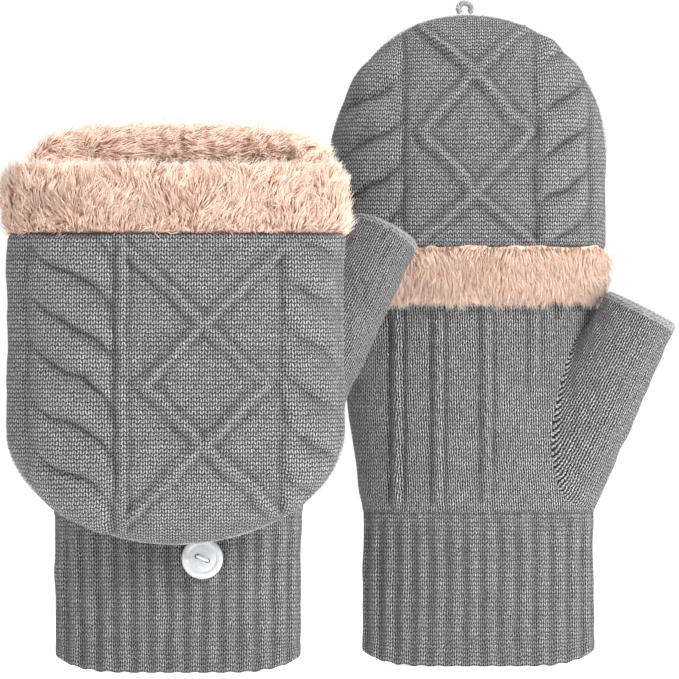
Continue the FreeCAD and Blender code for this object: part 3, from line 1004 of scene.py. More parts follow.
class Cloth:
    """Builds closed shells of knitted cloth from grids of points."""

    @staticmethod
    def stitch_map(shares: Array, girths: Array, lengths: Array, stitch: Stitch) -> Array:
        """Lay the stitch map so that wales run straight up both faces.

        Args:
            shares: each column's share of the girth.
            girths: each row's girth in millimetres.
            lengths: each row's length along the cloth in millimetres.
            stitch: the stitch's size.

        Returns:
            Rows by columns by 2.
        """
        front = (0.25 - shares)[None, :] * girths[:, None]
        back = (0.75 - shares)[None, :] * girths[:, None] - 0.5 * girths[0]
        across = np.where(shares[None, :] <= 0.5, front, back) / stitch.width
        along = np.broadcast_to(lengths[:, None] / stitch.height, across.shape)
        return np.stack([across, along], axis=2)

    @staticmethod
    def shell(
        name: str, place: Place, outer: Array, inner: Array, stitches: Array, folded: bool = False,
        push: Array | None = None,
    ) -> bpy.types.Object:
        """Join an outer and an inner wall at their rims into one closed shell.

        Args:
            name: the piece's name.
            place: the mitten's place.
            outer: outer wall, from its first rim on.
            inner: inner wall with the same columns, from the same rim on.
            stitches: the outer wall's stitch map.
            folded: whether to turn it half round about the hinge.
            push: the outer wall's relief, from which its hollows are found for the painted groove shade and
                ridge highlight.

        Returns:
            The finished shell.
        """
        wall = inner[::-1]
        points = Cloth.meet(np.concatenate([wall, outer], axis=0))
        below = stitches[:1] - np.linspace(1, 0.05, len(wall))[:, None, None] * np.array((0.0, 30.0))
        maps = np.concatenate([below, stitches], axis=0)
        if folded:
            points = place.fold(points)
        piece = Bench.panel(name, place.to_row(points), maps, hollows(push, len(wall), outer.shape))
        return Bench.close(piece)

    @staticmethod
    def meet(face: Array) -> Array:
        """Ease a surface's last columns over so that they meet its first one.

        Args:
            face: rows of points, whose first and last columns are to be one seam.

        Returns:
            The surface with its seam closed.
        """
        gap = face[:, :1] - face[:, -1:]
        ease = blend_edge(np.linspace(0, 1, face.shape[1]), 0.9, 1.0)
        closed = face + gap * ease[None, :, None]
        closed[:, -1] = closed[:, 0]
        return closed

    @staticmethod
    def flat_size(face: Array) -> tuple[float, float, float]:
        """The size that a piece of cloth lies flat at before it is joined up.

        Args:
            face: rows round the piece's outer face, in millimetres.

        Returns:
            Width and length in metres, and area in square metres.
        """
        round_it = np.linalg.norm(np.diff(face, axis=1), axis=2)
        along = np.linalg.norm(np.diff(face, axis=0), axis=2)
        cells = (round_it[:-1] + round_it[1:]) * (along[:, :-1] + along[:, 1:]) / 4
        width = float(round_it.sum(axis=1).max()) * MM
        length = float(along.sum(axis=0).max()) * MM
        return width, length, float(cells.sum()) * MM**2

    @staticmethod
    def sleeve(
        name: str, place: Place, outer: Array, inner: Array, stitches: Array, folded: bool = False,
        push: Array | None = None,
    ) -> bpy.types.Object:
        """Join an outer and an inner wall at both rims into an open-ended tube with a real wall.

        Args:
            name: the piece's name.
            place: the mitten's place.
            outer: outer wall from its first rim to its last.
            inner: inner wall from the same rim to the same rim.
            stitches: the outer wall's stitch map.
            folded: whether to turn it half round about the hinge.
            push: the outer wall's relief, from which its hollows are found for the painted groove shade and
                ridge highlight.

        Returns:
            The finished tube.
        """
        lined = np.concatenate([inner, outer[-1:]], axis=0)
        return Cloth.shell(name, place, outer, lined, stitches, folded, push)


@dataclass
class Rope:
    """Twisted yarn laid along a line.

    Attributes:
        plies: how many strands are twisted together.
        ply_radius: radius of each strand, in millimetres.
        twist_radius: how far the strands lie from the middle.
        pitch: length of one turn.
        sides: faces round each strand.
    """

    plies: int = 2
    ply_radius: float = 0.55
    twist_radius: float = 0.45
    pitch: float = 3.2
    sides: int = 7

    def lay(self, name: str, path: Array, place: Place, closed: bool = False, folded: bool = False,
            step: float = 0.45) -> bpy.types.Object:
        """Lay the yarn.

        Args:
            name: the piece's name.
            path: points in millimetres.
            place: the mitten's place.
            closed: whether the line is a ring.
            folded: whether to turn it half round about the hinge.
            step: spacing of the rings along the yarn.

        Returns:
            The yarn as one piece.
        """
        if closed:
            path = np.concatenate([path, path[:1]], axis=0)
        run = np.concatenate([[0.0], np.cumsum(np.linalg.norm(np.diff(path, axis=0), axis=1))])
        count = max(8, int(run[-1] / step))
        at = np.linspace(0, run[-1], count + 1)
        line = np.stack([np.interp(at, run, path[:, k]) for k in range(3)], axis=1)
        ahead = np.gradient(line, axis=0)
        if closed:
            ahead[0] = ahead[-1] = line[1] - line[-2]
        ahead /= np.linalg.norm(ahead, axis=1, keepdims=True)
        side = np.empty_like(ahead)
        axis = np.cross(ahead[0], (0.3, 0.5, 0.81))
        for k, way in enumerate(ahead):
            axis = axis - way * np.dot(axis, way)
            axis = axis / np.linalg.norm(axis)
            side[k] = axis
        up = np.cross(ahead, side)
        turns = max(1, round(run[-1] / self.pitch))
        parts = []
        for ply in range(self.plies):
            angle = 2 * math.pi * (turns * at / run[-1] + ply / self.plies)
            if closed:
                drop = math.atan2(np.dot(side[-1], up[0]), np.dot(side[-1], side[0]))
                angle = angle - drop * at / run[-1]
            middle = line + self.twist_radius * (
                side * np.cos(angle)[:, None] + up * np.sin(angle)[:, None]
            )
            ring = np.linspace(0, 2 * math.pi, self.sides + 1)
            radius = np.full(len(at), self.ply_radius)
            if not closed:
                radius[0] = radius[-1] = 0.0
                radius[1] = radius[-2] = self.ply_radius * 0.8
            spin = np.broadcast_to(ring[None, :], (len(at), len(ring)))
            if closed:
                spin = spin - (drop * at / run[-1])[:, None]
            points = (
                middle[:, None, :]
                + radius[:, None, None] * np.cos(spin)[:, :, None] * side[:, None, :]
                + radius[:, None, None] * np.sin(spin)[:, :, None] * up[:, None, :]
            )
            if folded:
                points = place.fold(points)
            part = Bench.panel(f"{name}_{ply}", place.to_row(points))
            parts.append(Bench.close(part))
        return Bench.join(name, parts)


@dataclass
class Pile:
    """Long soft pile that grows from a plush backing.

    Attributes:
        count: how many strands.
        length: mean length, in millimetres.
        radius: radius at the root.
        lift: share of the length that stands away from the backing.
        clump: how strongly strands gather into tufts, 0 to 1.
        tuft: strands per tuft.
        lay: the way the pile lies: across, through and up.
        stray: how far tufts turn from it.
        seed: random seed.
    """

    count: int = 15500
    length: float = 6.5
    radius: float = 0.2
    lift: float = 0.5
    clump: float = 0.6
    tuft: int = 16
    lay: tuple[float, float, float] = (0.2, 0.0, 0.8)
    stray: float = 1.0
    seed: int = SEED

    def grow(self, name: str, base: Array, weight: Array, place: Place) -> bpy.types.Object:
        """Grow the strands.

        Args:
            name: the object's name.
            base: backing's points in the mitten's frame as shown, rows by columns by 3.
            weight: how thickly each cell of the backing is covered.
            place: the mitten's place.

        Returns:
            The strands as one object with the pile and tint attributes.
        """
        rng = np.random.default_rng(self.seed)
        a, b = base[:-1, :-1], base[:-1, 1:]
        c, d = base[1:, :-1], base[1:, 1:]
        cross = np.cross(d - a, c - b)
        area = np.linalg.norm(cross, axis=2) / 2
        centre = base.mean(axis=0, keepdims=True)[:, :-1]
        normal = cross / np.maximum(np.linalg.norm(cross, axis=2, keepdims=True), 1e-9)
        sign = np.sign((normal * ((a + d) / 2 - centre)).sum(axis=2, keepdims=True))
        normal = normal * np.where(sign == 0, 1.0, sign)
        share = (area * weight).ravel()
        cell = rng.choice(len(share), self.count, p=share / share.sum())
        row, column = np.unravel_index(cell, area.shape)
        u, v = rng.random((2, self.count, 1))
        top = a[row, column] * (1 - u) + b[row, column] * u
        bottom = c[row, column] * (1 - u) + d[row, column] * u
        root = top * (1 - v) + bottom * v
        out = normal[row, column]
        along = b[row, column] - a[row, column]
        along /= np.maximum(np.linalg.norm(along, axis=1, keepdims=True), 1e-9)
        over = np.cross(out, along)
        turn = drift(root[:, 0], root[:, 2] + root[:, 1], self.seed, 30.0)
        swirl = drift(root[:, 0] + 40, root[:, 2] + root[:, 1], self.seed + 1, 22.0)
        way = np.array(self.lay)[None, :] + self.stray * (along * turn[:, None] + 0.6 * over * swirl[:, None])
        way = way + rng.normal(0, 0.3, (self.count, 3))
        way = way - out * (way * out).sum(axis=1, keepdims=True)
        way /= np.maximum(np.linalg.norm(way, axis=1, keepdims=True), 1e-6)
        length = self.length * np.clip(rng.normal(1.0, 0.2, self.count), 0.5, 1.6)[:, None]
        stand = self.lift * np.clip(rng.normal(1.0, 0.22, self.count), 0.3, 1.5)[:, None]
        tip = root + length * (out * stand + way * np.sqrt(np.clip(1 - stand**2, 0.1, 1)))
        tip = tip + length * rng.normal(0, 0.1, (self.count, 3))
        tip = self.gather(root, tip, rng)
        knee = root + out * length * 0.5 * np.clip(stand + 0.15, 0.3, 1.0) + way * length * 0.18
        return self.weave(name, root, knee, tip, place, rng)

    def gather(self, root: Array, tip: Array, rng: np.random.Generator) -> Array:
        """Pull the tips together into tufts.

        Args:
            root: the strands' roots.
            tip: the strands' tips.
            rng: source of random numbers.

        Returns:
            The gathered tips.
        """
        leaders = rng.choice(len(root), max(1, len(root) // self.tuft), replace=False)
        nearest = np.empty(len(root), int)
        leading = root[leaders]
        for start in range(0, len(root), 2000):
            block = root[start : start + 2000]
            gap = ((block[:, None, :] - leading[None, :, :]) ** 2).sum(axis=2)
            nearest[start : start + 2000] = gap.argmin(axis=1)
        pull = self.clump * rng.uniform(0.4, 1.0, (len(root), 1))
        goal = tip[leaders][nearest] + 0.35 * (root - leading[nearest])
        return tip * (1 - pull) + goal * pull

    def weave(
        self, name: str, root: Array, knee: Array, tip: Array, place: Place, rng: np.random.Generator
    ) -> bpy.types.Object:
        """Turn strand lines into slim three-sided spikes.

        Args:
            name: the object's name.
            root: the strands' roots.
            knee: the points that they bend towards.
            tip: the strands' tips.
            place: the mitten's place.
            rng: source of random numbers.

        Returns:
            The strands as one object.
        """
        count = len(root)
        stages = ((0.0, 1.0), (0.52, 0.8))
        axis = rng.normal(0, 1, (count, 3))
        radius = self.radius * rng.uniform(0.7, 1.25, (count, 1))
        rings = []
        for t, girth in stages:
            spot = root * (1 - t) ** 2 + knee * 2 * t * (1 - t) + tip * t * t
            ahead = (knee - root) * (1 - t) + (tip - knee) * t
            first = np.cross(ahead, axis)
            first /= np.maximum(np.linalg.norm(first, axis=1, keepdims=True), 1e-9)
            second = np.cross(ahead, first)
            second /= np.maximum(np.linalg.norm(second, axis=1, keepdims=True), 1e-9)
            for k in range(3):
                turn = 2 * math.pi * k / 3
                rings.append(spot + radius * girth * (first * math.cos(turn) + second * math.sin(turn)))
        points = np.stack([*rings, tip], axis=1)
        faces = [(2, 1, 0)]
        for k in range(3):
            n = (k + 1) % 3
            faces.append((k, n, 3 + n))
            faces.append((k, 3 + n, 3 + k))
            faces.append((3 + k, 3 + n, 6))
        pattern = np.array(faces)
        if place.side.palm < 0:
            pattern = pattern[:, ::-1]
        index = (pattern[None] + 7 * np.arange(count)[:, None, None]).reshape(-1, 3)
        mesh = bpy.data.meshes.new(name)
        mesh.vertices.add(count * 7)
        mesh.vertices.foreach_set("co", place.to_row(points).astype(np.float32).ravel())
        mesh.loops.add(len(index) * 3)
        mesh.loops.foreach_set("vertex_index", index.astype(np.int32).ravel())
        mesh.polygons.add(len(index))
        mesh.polygons.foreach_set("loop_start", np.arange(0, len(index) * 3, 3, dtype=np.int32))
        mesh.update(calc_edges=True)
        levels = np.array([t for t, _ in stages]).repeat(3).tolist() + [1.0]
        pile = np.tile(np.array(levels, np.float32) * 0.85 + 0.15, count)
        tint = np.repeat(rng.random(count).astype(np.float32), 7)
        for label, values in (("pile", pile), ("tint", tint)):
            layer = mesh.attributes.new(label, "FLOAT", "POINT")
            layer.data.foreach_set("value", values)
        mesh.shade_smooth()
        item = bpy.data.objects.new(name, mesh)
        bpy.context.scene.collection.objects.link(item)
        return item


@dataclass
class FurRing:
    """A puffy roll of plush that follows an oval rim.

    Attributes:
        thick_out: how far it stands outside the rim's line, in millimetres.
        thick_in: how far it reaches inside.
        lump: how uneven it is.
        seed: random seed.
        sides: faces round the roll.
    """

    thick_out: float = 2.0
    thick_in: float = 6.0
    lump: float = 0.8
    seed: int = SEED
    sides: int = 22

    def roll(self, line: Array, outward: Array, low: Array, high: Array) -> Array:
        """Shape the roll's backing.

        Args:
            line: the rim's points across and through, columns by 2.
            outward: unit directions away from the middle, columns by 2.
            low: lowest height of each column.
            high: highest height of each column.

        Returns:
            Points, sides by columns by 3.
        """
        turn = np.linspace(0, 2 * math.pi, self.sides + 1)
        out = np.sign(np.cos(turn)) * np.abs(np.cos(turn)) ** 0.75
        rise = np.sign(np.sin(turn)) * np.abs(np.sin(turn)) ** 0.8
        half_thick = (self.thick_out + self.thick_in) / 2
        middle = (self.thick_out - self.thick_in) / 2
        full = np.clip((high - low) / 8.0, 0.25, 1.0)
        offset = middle + half_thick * out[:, None] * full[None, :]
        height = (low + high)[None, :] / 2 + (high - low)[None, :] / 2 * rise[:, None]
        uneven = self.lump * drift(line[:, 0][None, :] + 0 * height, height, self.seed, 19.0)
        offset = offset + uneven * np.sign(out)[:, None]
        across = line[:, 0][None, :] + outward[:, 0][None, :] * offset
        through = line[:, 1][None, :] + outward[:, 1][None, :] * offset
        return np.stack([across, through, height], axis=2)

    @staticmethod
    def backing(name: str, points: Array, place: Place) -> bpy.types.Object:
        """Make the backing's mesh with the attributes that the plush finish reads."""
        item = Bench.close(Bench.panel(name, place.to_row(points)))
        for label, value in (("pile", 0.5), ("tint", 0.4)):
            layer = item.data.attributes.new(label, "FLOAT", "POINT")
            layer.data.foreach_set("value", np.full(len(item.data.vertices), value, np.float32))
        return item


# ---------------------------------------------------------------------------------------- the mittens
@dataclass
class Thumb:
    """The thumb's sleeve, in the mitten's own frame.

    Attributes:
        base: middle of its root.
        tip: middle of its open end.
        root_width: width at the root.
        root_depth: depth at the root.
        tip_width: width at the end.
        tip_depth: depth at the end.
        flare: how far the join spreads over the hand.
        skew: how far the open end is tilted, as a share of the length.
    """

    base: tuple[float, float, float]
    tip: tuple[float, float, float]
    root_width: float
    root_depth: float
    tip_width: float
    tip_depth: float
    flare: float = 3.6
    skew: float = 0.0

    def end(self, turn: Array, share: float) -> Array:
        """Share of the length at which the end lies, tilted towards the palm by the skew."""
        return share + self.skew * np.sin(turn)

    def reach(self, points: Array) -> Array:
        """How far points lie from the sleeve's axis: 1 at the foot of its flare."""
        start, end = np.array(self.base), np.array(self.tip)
        axis = (end - start) / np.linalg.norm(end - start)
        arm = points - start
        along = (arm * axis).sum(axis=-1)
        beside = np.linalg.norm(arm - along[..., None] * axis, axis=-1)
        return beside / (self.root_width / 2 + self.flare * 0.7) + (along < -14) * 9.0

    def point(self, share: Array, turn: Array, inset: float = 0.0) -> Array:
        """Points on the sleeve.

        Args:
            share: share of the length from root to tip.
            turn: angle round the sleeve.
            inset: how far inside the surface.

        Returns:
            Positions in the mitten's frame.
        """
        start, end = Vector(self.base), Vector(self.tip)
        spin = np.array(Vector((0, 0, 1)).rotation_difference(end - start).to_matrix())
        width = self.root_width + (self.tip_width - self.root_width) * share
        depth = self.root_depth + (self.tip_depth - self.root_depth) * share
        local = np.stack(
            [
                (width / 2 - inset) * np.cos(turn),
                (depth / 2 - inset) * np.sin(turn),
                (end - start).length * share + 0 * turn,
            ],
            axis=-1,
        )
        return local @ spin.T + np.array(start)


@dataclass
class MittenForm:
    """Every size of one mitten that its pieces share, in millimetres in its own frame.

    Attributes:
        side: which mitten.
        folded: whether its cap is turned back.
        hand: sections of the hand from its cuff's top to above the knuckles.
        cuff_top: height of the cuff's top.
        hem: the cuff's width and depth at the hem.
        ribs: number of ribs round the cuff.
        finger_width: width of the finger opening.
        finger_depth: its depth.
        finger_back: where its back lies.
        finger_shift: how far it is set away from the thumb.
        lip_back: height of the opening's edge at the back.
        lip_palm: its height at the palm.
        cap_width: the cap's width.
        cap_depth: the cap's depth.
        cap_shift: how far it is set away from the thumb.
        dome_z: height where the cap starts to round off, closed.
        dome_height: how much higher its tip is.
        knit_edge: height of the knit's lower edge on the palm side, closed.
        fur_edge: height of the plush's lower edge there.
        mouth_start: depth at which the edge starts to slant.
        mouth_level: depth at which it is level again.
        pattern: the cap's raised knitting.
        thumb: the thumb.
        stitch: the cap's stitch.
        front_columns: columns on the cap's palm face.
        back_columns: columns on its back.
        cap_back: where the closed cap's back lies.
        tip_lean: how far its tip leans back.
        dome_power: fullness of its dome.
        shoulder: how far the dome's side away from the thumb is drawn in.
        shoulder_z: height where it is drawn in most.
    """

    side: Side
    folded: bool
    hand: Section
    cuff_top: float
    hem: tuple[float, float]
    ribs: int
    finger_width: float
    finger_depth: float
    finger_back: float
    finger_shift: float
    lip_back: float
    lip_palm: float
    cap_width: float
    cap_depth: float
    cap_shift: float
    dome_z: float
    dome_height: float
    knit_edge: float
    fur_edge: float
    mouth_start: float
    mouth_level: float
    pattern: Pattern
    thumb: Thumb
    stitch: Stitch
    front_columns: int
    back_columns: int
    cap_back: float = 0.6
    tip_lean: float = 4.0
    dome_power: float = 2.1
    shoulder: float = 0.0
    shoulder_z: float = 216.0


class Mitten:
    """One mitten: its hand, its cap, its plush and its fastening."""

    KNIT_WALL = 2.0
    BUTTON_ROLL = 24.0
    BUTTON_NOD = 9.0
    BUTTON_SLACK = 0.4
    CAP_WALL = 1.8

    def __init__(self, form: MittenForm, finishes: Finishes) -> None:
        """Place the mitten on its frame.

        Args:
            form: the mitten's sizes.
            finishes: the pair's finishes.
        """
        self.form = form
        self.finishes = finishes
        joints = FRAME["record"]["behaviour"]["joints"]
        joint = next(j for j in joints if j["name"] == f"{form.side.prefix}_cap_flip")
        self.place = Place(form.side, Vector(joint["pos_m"]))

    # -- shared steps
    def settle(
        self, piece: bpy.types.Object, node: str, body: str, finish: str,
        cloth: Array | None = None, girth: float | None = None,
    ) -> bpy.types.Object:
        """Hand a finished piece over: its finish, its body and the node it stands for.

        Args:
            piece: the piece.
            node: the node's name without its side.
            body: the body's name without its side.
            finish: the finish's name.
            cloth: for a piece of cloth, its outer face while still smooth, which gives the flat size.
            girth: the flat width in millimetres, where the face's rows don't lie square to its length.

        Returns:
            The same piece.
        """
        self.finishes.dress(piece, finish)
        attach(piece, f"{self.form.side.prefix}_{body}")
        if node:
            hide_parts(self.place.node(node))
        if cloth is not None:
            width, length, area = Cloth.flat_size(cloth)
            width = girth * MM if girth else width
            log.info("%s: flat %.0f x %.0f mm, %.4f m2", piece.name, width / MM, length / MM, area)
        log.info("%s: %d faces", piece.name, len(piece.data.polygons))
        return piece

    def name(self, piece: str) -> str:
        """Name of a visible piece of this mitten."""
        return f"{self.form.side.prefix}_{piece}_visual"

    # -- the hand
    def hand_grid(self, heights: Array, shares: Array, inset: float = 0.0) -> Array:
        """Points of the hand's surface.

        Args:
            heights: rows.
            shares: columns.
            inset: how far inside the surface.

        Returns:
            Rows by columns by 3.
        """
        middle_x, middle_y, half_w, half_d = self.form.hand.at(heights, inset)
        across, through = Girth(shares, float(half_d.mean() / half_w.mean())).directions()
        x = middle_x[:, None] + half_w[:, None] * across[None, :]
        y = middle_y[:, None] + half_d[:, None] * through[None, :]
        return np.stack([x, y, np.broadcast_to(heights[:, None], x.shape)], axis=2)

    def build_cuff(self) -> bpy.types.Object:
        """The ribbed cuff."""
        form = self.form
        count = 12 * form.ribs
        shares = np.linspace(0, 1, count + 1)
        heights = np.concatenate([[0.0, 0.25, 0.8], np.linspace(1.6, form.cuff_top, 62)])
        top = form.hand.at(np.array([form.cuff_top]))
        across, through = Girth(shares, form.hem[1] / form.hem[0]).directions()
        share = heights / form.cuff_top
        width = form.hem[0] + (top[2][0] * 2 - form.hem[0]) * share
        depth = form.hem[1] + (top[3][0] * 2 - form.hem[1]) * share
        middle_x = top[0][0]
        middle_y = top[1][0]
        wander = 0.35 * drift(shares[None, :] * 210.0, heights[:, None], 5, 60.0)
        rib = np.cos(2 * math.pi * form.ribs * shares[None, :] + wander)
        rib = np.clip(rib + 0.25, -1.0, 1.0)
        fade = 1 - 0.9 * blend_edge(heights, form.cuff_top - 11.0, form.cuff_top)
        swell = 0.62 * (rib - 0.75) * fade[:, None]
        tuck = -1.1 * (1 - np.clip(heights / 1.6, 0, 1)) ** 2
        waver = 0.5 * drift(shares[None, :] * 210.0, heights[:, None], 4, 46.0)
        waver = waver * blend_edge(heights, 0, 8)[:, None]
        push = swell + tuck[:, None] + waver
        x = middle_x + (width / 2)[:, None] * across[None, :]
        y = middle_y + (depth / 2)[:, None] * through[None, :]
        cut = np.stack([x, y, np.broadcast_to(heights[:, None], x.shape)], axis=2)
        outer = cut + surface_normals(cut) * push[:, :, None]
        corner = np.abs(across) ** 5
        low_down = (1 - blend_edge(heights, 0, 14))[:, None]
        outer[:, :, 2] += ((4.6 * corner)[None, :] + 0.35 * rib) * low_down
        inner_rows = np.array([0, 2, 6, 20, 40, 64])
        inner = outer[inner_rows].copy()
        for k, row in enumerate(inner_rows):
            inner[k, :, 0] = middle_x + (width[row] / 2 - 2.6) * across
            inner[k, :, 1] = middle_y + (depth[row] / 2 - 2.6) * through
        inner[0, :, 2] += 0.2 + 0.35 * (1 - rib[0])
        girth = 2.0 * (form.hem[0] + form.hem[1]) * 0.85
        stitches = Cloth.stitch_map(
            shares, np.full(len(heights), girth), heights, Stitch(girth / form.ribs / 4, 1.55)
        )
        stitches[:, :, 0] = -shares[None, :] * form.ribs * 4 - wander * 2 / math.pi
        piece = Cloth.sleeve(self.name("cuff"), self.place, outer, inner, stitches, push=push * 0.5)
        return self.settle(piece, "cuff", "hand", "rib_knit_grey", cut)

    def hand_relief(self, x: Array, y: Array, z: Array) -> Array:
        """Unevenness of the hand's plain knit: soft dents and, on the palm, twisted columns."""
        soft = 0.55 * drift(x, z, 7, 52.0)
        if self.form.folded:
            return soft
        columns = 0.0
        for middle in (-15.0, 2.9, 20.5, 31.0, -30.0):
            twist = 0.5 + 0.5 * np.sin(2 * math.pi * z / 5.6 + 1.7 * np.tanh((x - middle) / 0.8))
            columns = columns + ridge(x - middle, 1.3) * (0.35 + 1.2 * twist)
            columns = columns - 0.75 * (ridge(x - middle - 2.6, 0.8) + ridge(x - middle + 2.6, 0.8))
        return soft + columns * (y > 17)

    def build_hand(self) -> bpy.types.Object:
        """The hand's knitted tube, from the cuff to above the knuckles."""
        form = self.form
        shares = split_columns(*((150, 130) if form.folded else (230, 110)))
        top = self.place.hinge_z + 8.0
        heights = np.linspace(form.cuff_top, top, 160 if form.folded else 200)
        cut = outer = self.hand_grid(heights, shares)
        push = self.hand_relief(outer[..., 0], outer[..., 1], outer[..., 2])
        fade = blend_edge(heights, form.cuff_top, form.cuff_top + 7) * (1 - blend_edge(heights, top - 8, top))
        reach = form.thumb.reach(outer)
        joined = blend_edge(reach, 1.0, 1.45)
        push = push * fade[:, None] * joined + 0.15
        outer = outer + surface_normals(outer) * push[:, :, None]
        inner = self.hand_grid(np.linspace(form.cuff_top, top, 8), shares, self.KNIT_WALL)
        girths = 2.0 * (form.hand.at(heights)[2] + form.hand.at(heights)[3]) * 1.62
        gauge = Stitch(1.72, 1.5)
        stitches = Cloth.stitch_map(shares, girths, heights, gauge)
        piece = Cloth.sleeve(self.name("hand"), self.place, outer, inner, stitches, push=push)
        return self.settle(piece, "hand_shell", "hand", "palm_knit_fine", cut)

    def build_hand_lining(self) -> bpy.types.Object:
        """The plush lining inside the hand."""
        form = self.form
        shares = np.linspace(0, 1, 121)
        heights = np.linspace(form.cuff_top, self.place.hinge_z + 8, 40)
        outer = self.hand_grid(heights, shares, 2.2)
        inner = self.hand_grid(heights, shares, 4.0)
        lump = 0.5 * drift(shares[None, :] * 200, heights[:, None], 11, 15.0)
        inner = inner + surface_normals(inner) * lump[:, :, None]
        stitches = Cloth.stitch_map(shares, np.full(len(heights), 200.0), heights, form.stitch)
        piece = Cloth.sleeve(self.name("hand_lining"), self.place, outer, inner, stitches)
        return self.settle(piece, "hand_lining", "hand", "plush_lining_shaded", outer)

    def lip_height(self, y: Array) -> Array:
        """Height of the finger opening's edge at a depth."""
        form = self.form
        share = (y - form.finger_back) / form.finger_depth
        return form.lip_back + (form.lip_palm - form.lip_back) * share

    def finger_line(self, shares: Array, inset: float = 0.0) -> tuple[Array, Array]:
        """The finger opening's section and its outward directions."""
        form = self.form
        across, through = Girth(shares, form.finger_depth / form.finger_width).directions()
        half_w = form.finger_width / 2 - inset
        half_d = form.finger_depth / 2 - inset
        x = -form.finger_shift + half_w * across
        y = form.finger_back + form.finger_depth / 2 + half_d * through
        outward = np.stack([across / half_w, through / half_d], axis=1)
        outward /= np.linalg.norm(outward, axis=1, keepdims=True)
        return np.stack([x, y], axis=1), outward

    def build_finger_band(self) -> bpy.types.Object:
        """The knitted band round the fingers."""
        shares = np.linspace(0, 1, 241)
        line, _ = self.finger_line(shares)
        inside, _ = self.finger_line(shares, self.KNIT_WALL)
        low = self.place.hinge_z + 8.0
        rows = np.linspace(0, 1, 26)
        top = self.lip_height(line[:, 1])
        heights = low + (top - low)[None, :] * rows[:, None]
        inner_heights = low + (top - low)[None, :] * np.linspace(0, 1, 4)[:, None]
        outer, inner = (
            np.stack([np.broadcast_to(wall[:, k], tall.shape) for k in (0, 1)] + [tall], axis=2)
            for wall, tall in ((line, heights), (inside, inner_heights))
        )
        stitches = Cloth.stitch_map(shares, np.full(26, 215.0), low + rows * 20, Stitch(1.6, 1.45))
        piece = Cloth.sleeve(self.name("finger_band"), self.place, outer, inner, stitches)
        return self.settle(piece, "finger_band", "hand", "palm_knit_fine", outer)

    def build_lip(self) -> bpy.types.Object:
        """The plush roll that edges the finger opening."""
        form = self.form
        ring = FurRing(thick_out=1.5, thick_in=6.5, seed=SEED + 5)
        line, outward = self.finger_line(np.linspace(0, 1, 181))
        edge = self.lip_height(line[:, 1])
        base = ring.roll(line, outward, edge - 4.0, edge + (6.8 if form.folded else 4.6))
        backing = FurRing.backing(self.name("lip_backing"), base, self.place)
        if form.folded:
            cell_y = (base[:-1, :-1, 1] + base[1:, 1:, 1]) / 2
            weight = 0.35 + 1.0 * (cell_y > 16)
            pile = Pile(length=7.0, lay=(0.7, 0.0, 0.15), lift=0.4, stray=0.8, seed=SEED + 6)
        else:
            weight = np.ones((base.shape[0] - 1, base.shape[1] - 1))
            pile = Pile(count=6000, length=5.0, lift=0.35, seed=SEED + 6)
        strands = pile.grow(self.name("lip_pile"), base, weight, self.place)
        piece = Bench.join(self.name("finger_fur"), [backing, strands])
        self.settle(piece, "finger_fur", "hand", "plush_peach")
        if form.folded:
            low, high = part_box(self.place.node("finger_fur"))
            self.place.node("cap_flip")
            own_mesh(piece)
        return piece

    # -- the thumb
    def hand_field(self, points: Array) -> Array:
        """How far points lie outside the hand: below 1 inside it, above 1 outside."""
        middle_x, middle_y, half_w, half_d = self.form.hand.at(points[..., 2])
        across = np.abs((points[..., 0] - middle_x) / half_w)
        through = np.abs((points[..., 1] - middle_y) / half_d)
        return (across**2.25 + through**2.25) ** (1 / 2.25)

    def onto_hand(self, points: Array, proud: float) -> Array:
        """Bring points onto the hand's surface.

        Args:
            points: positions.
            proud: how far above the surface they end, in millimetres.

        Returns:
            Positions on the surface.
        """
        out = points.copy()
        middle_x, middle_y, _, _ = self.form.hand.at(points[..., 2])
        field = np.maximum(self.hand_field(points), 1e-6)
        centre = np.stack([middle_x, middle_y], axis=-1)
        arm = (points[..., :2] - centre) / field[..., None]
        length = np.linalg.norm(arm, axis=-1, keepdims=True)
        out[..., :2] = centre + arm * (1 + proud / np.maximum(length, 1.0))
        return out

    def build_thumb(self) -> bpy.types.Object:
        """The thumb's sleeve, flared where it is joined to the hand."""
        thumb = self.form.thumb
        count = 150
        turn = np.linspace(0, 2 * math.pi, count + 1)
        tries = np.linspace(-0.1, 0.9, 201)
        field = self.hand_field(thumb.point(tries[:, None], turn[None, :]))
        inside = field <= 1.0
        last = len(tries) - 1 - np.argmax(inside[::-1], axis=0)
        leaves = np.where(inside.any(axis=0), tries[np.minimum(last + 1, len(tries) - 1)], -0.1)
        for _ in range(3):
            ring = np.concatenate([leaves[-6:-1], leaves, leaves[1:6]])
            leaves = np.convolve(ring, np.full(11, 1 / 11), "valid")
        length = float(np.linalg.norm(np.array(thumb.tip) - np.array(thumb.base)))
        edge = thumb.point(leaves, turn)
        wider = thumb.point(leaves, turn, -thumb.flare)
        foot = self.onto_hand(wider, -0.5)
        start = leaves + thumb.flare * 1.3 / length
        joined = thumb.point(start, turn)
        t = np.linspace(0, 1, 14)[:, None, None]
        flare = foot * (1 - t) ** 2 + edge * 2 * t * (1 - t) + joined * t**2
        share = np.linspace(0, 1, 92)[1:, None]
        end = thumb.end(turn, 0.985)
        body = thumb.point(start[None, :] + (end - start)[None, :] * share, turn[None, :])
        outer = np.concatenate([flare, body], axis=0)
        cut = outer
        soft = 0.5 * drift(turn[None, :] * 13, np.arange(len(outer))[:, None] * 0.9, 15, 30.0)
        ribs = 0.16 * np.cos(turn * 22)[None, :]
        keep = np.concatenate([np.zeros(14), np.ones(91)])
        keep[14:24] = np.linspace(0, 1, 10)
        along = np.linspace(0, 1, len(outer))[:, None]
        middle = thumb.point(along, turn[None, :]).mean(axis=1, keepdims=True)
        away = outer - middle
        away /= np.linalg.norm(away, axis=2, keepdims=True)
        outer = outer + away * ((soft + ribs) * keep[:, None])[:, :, None]
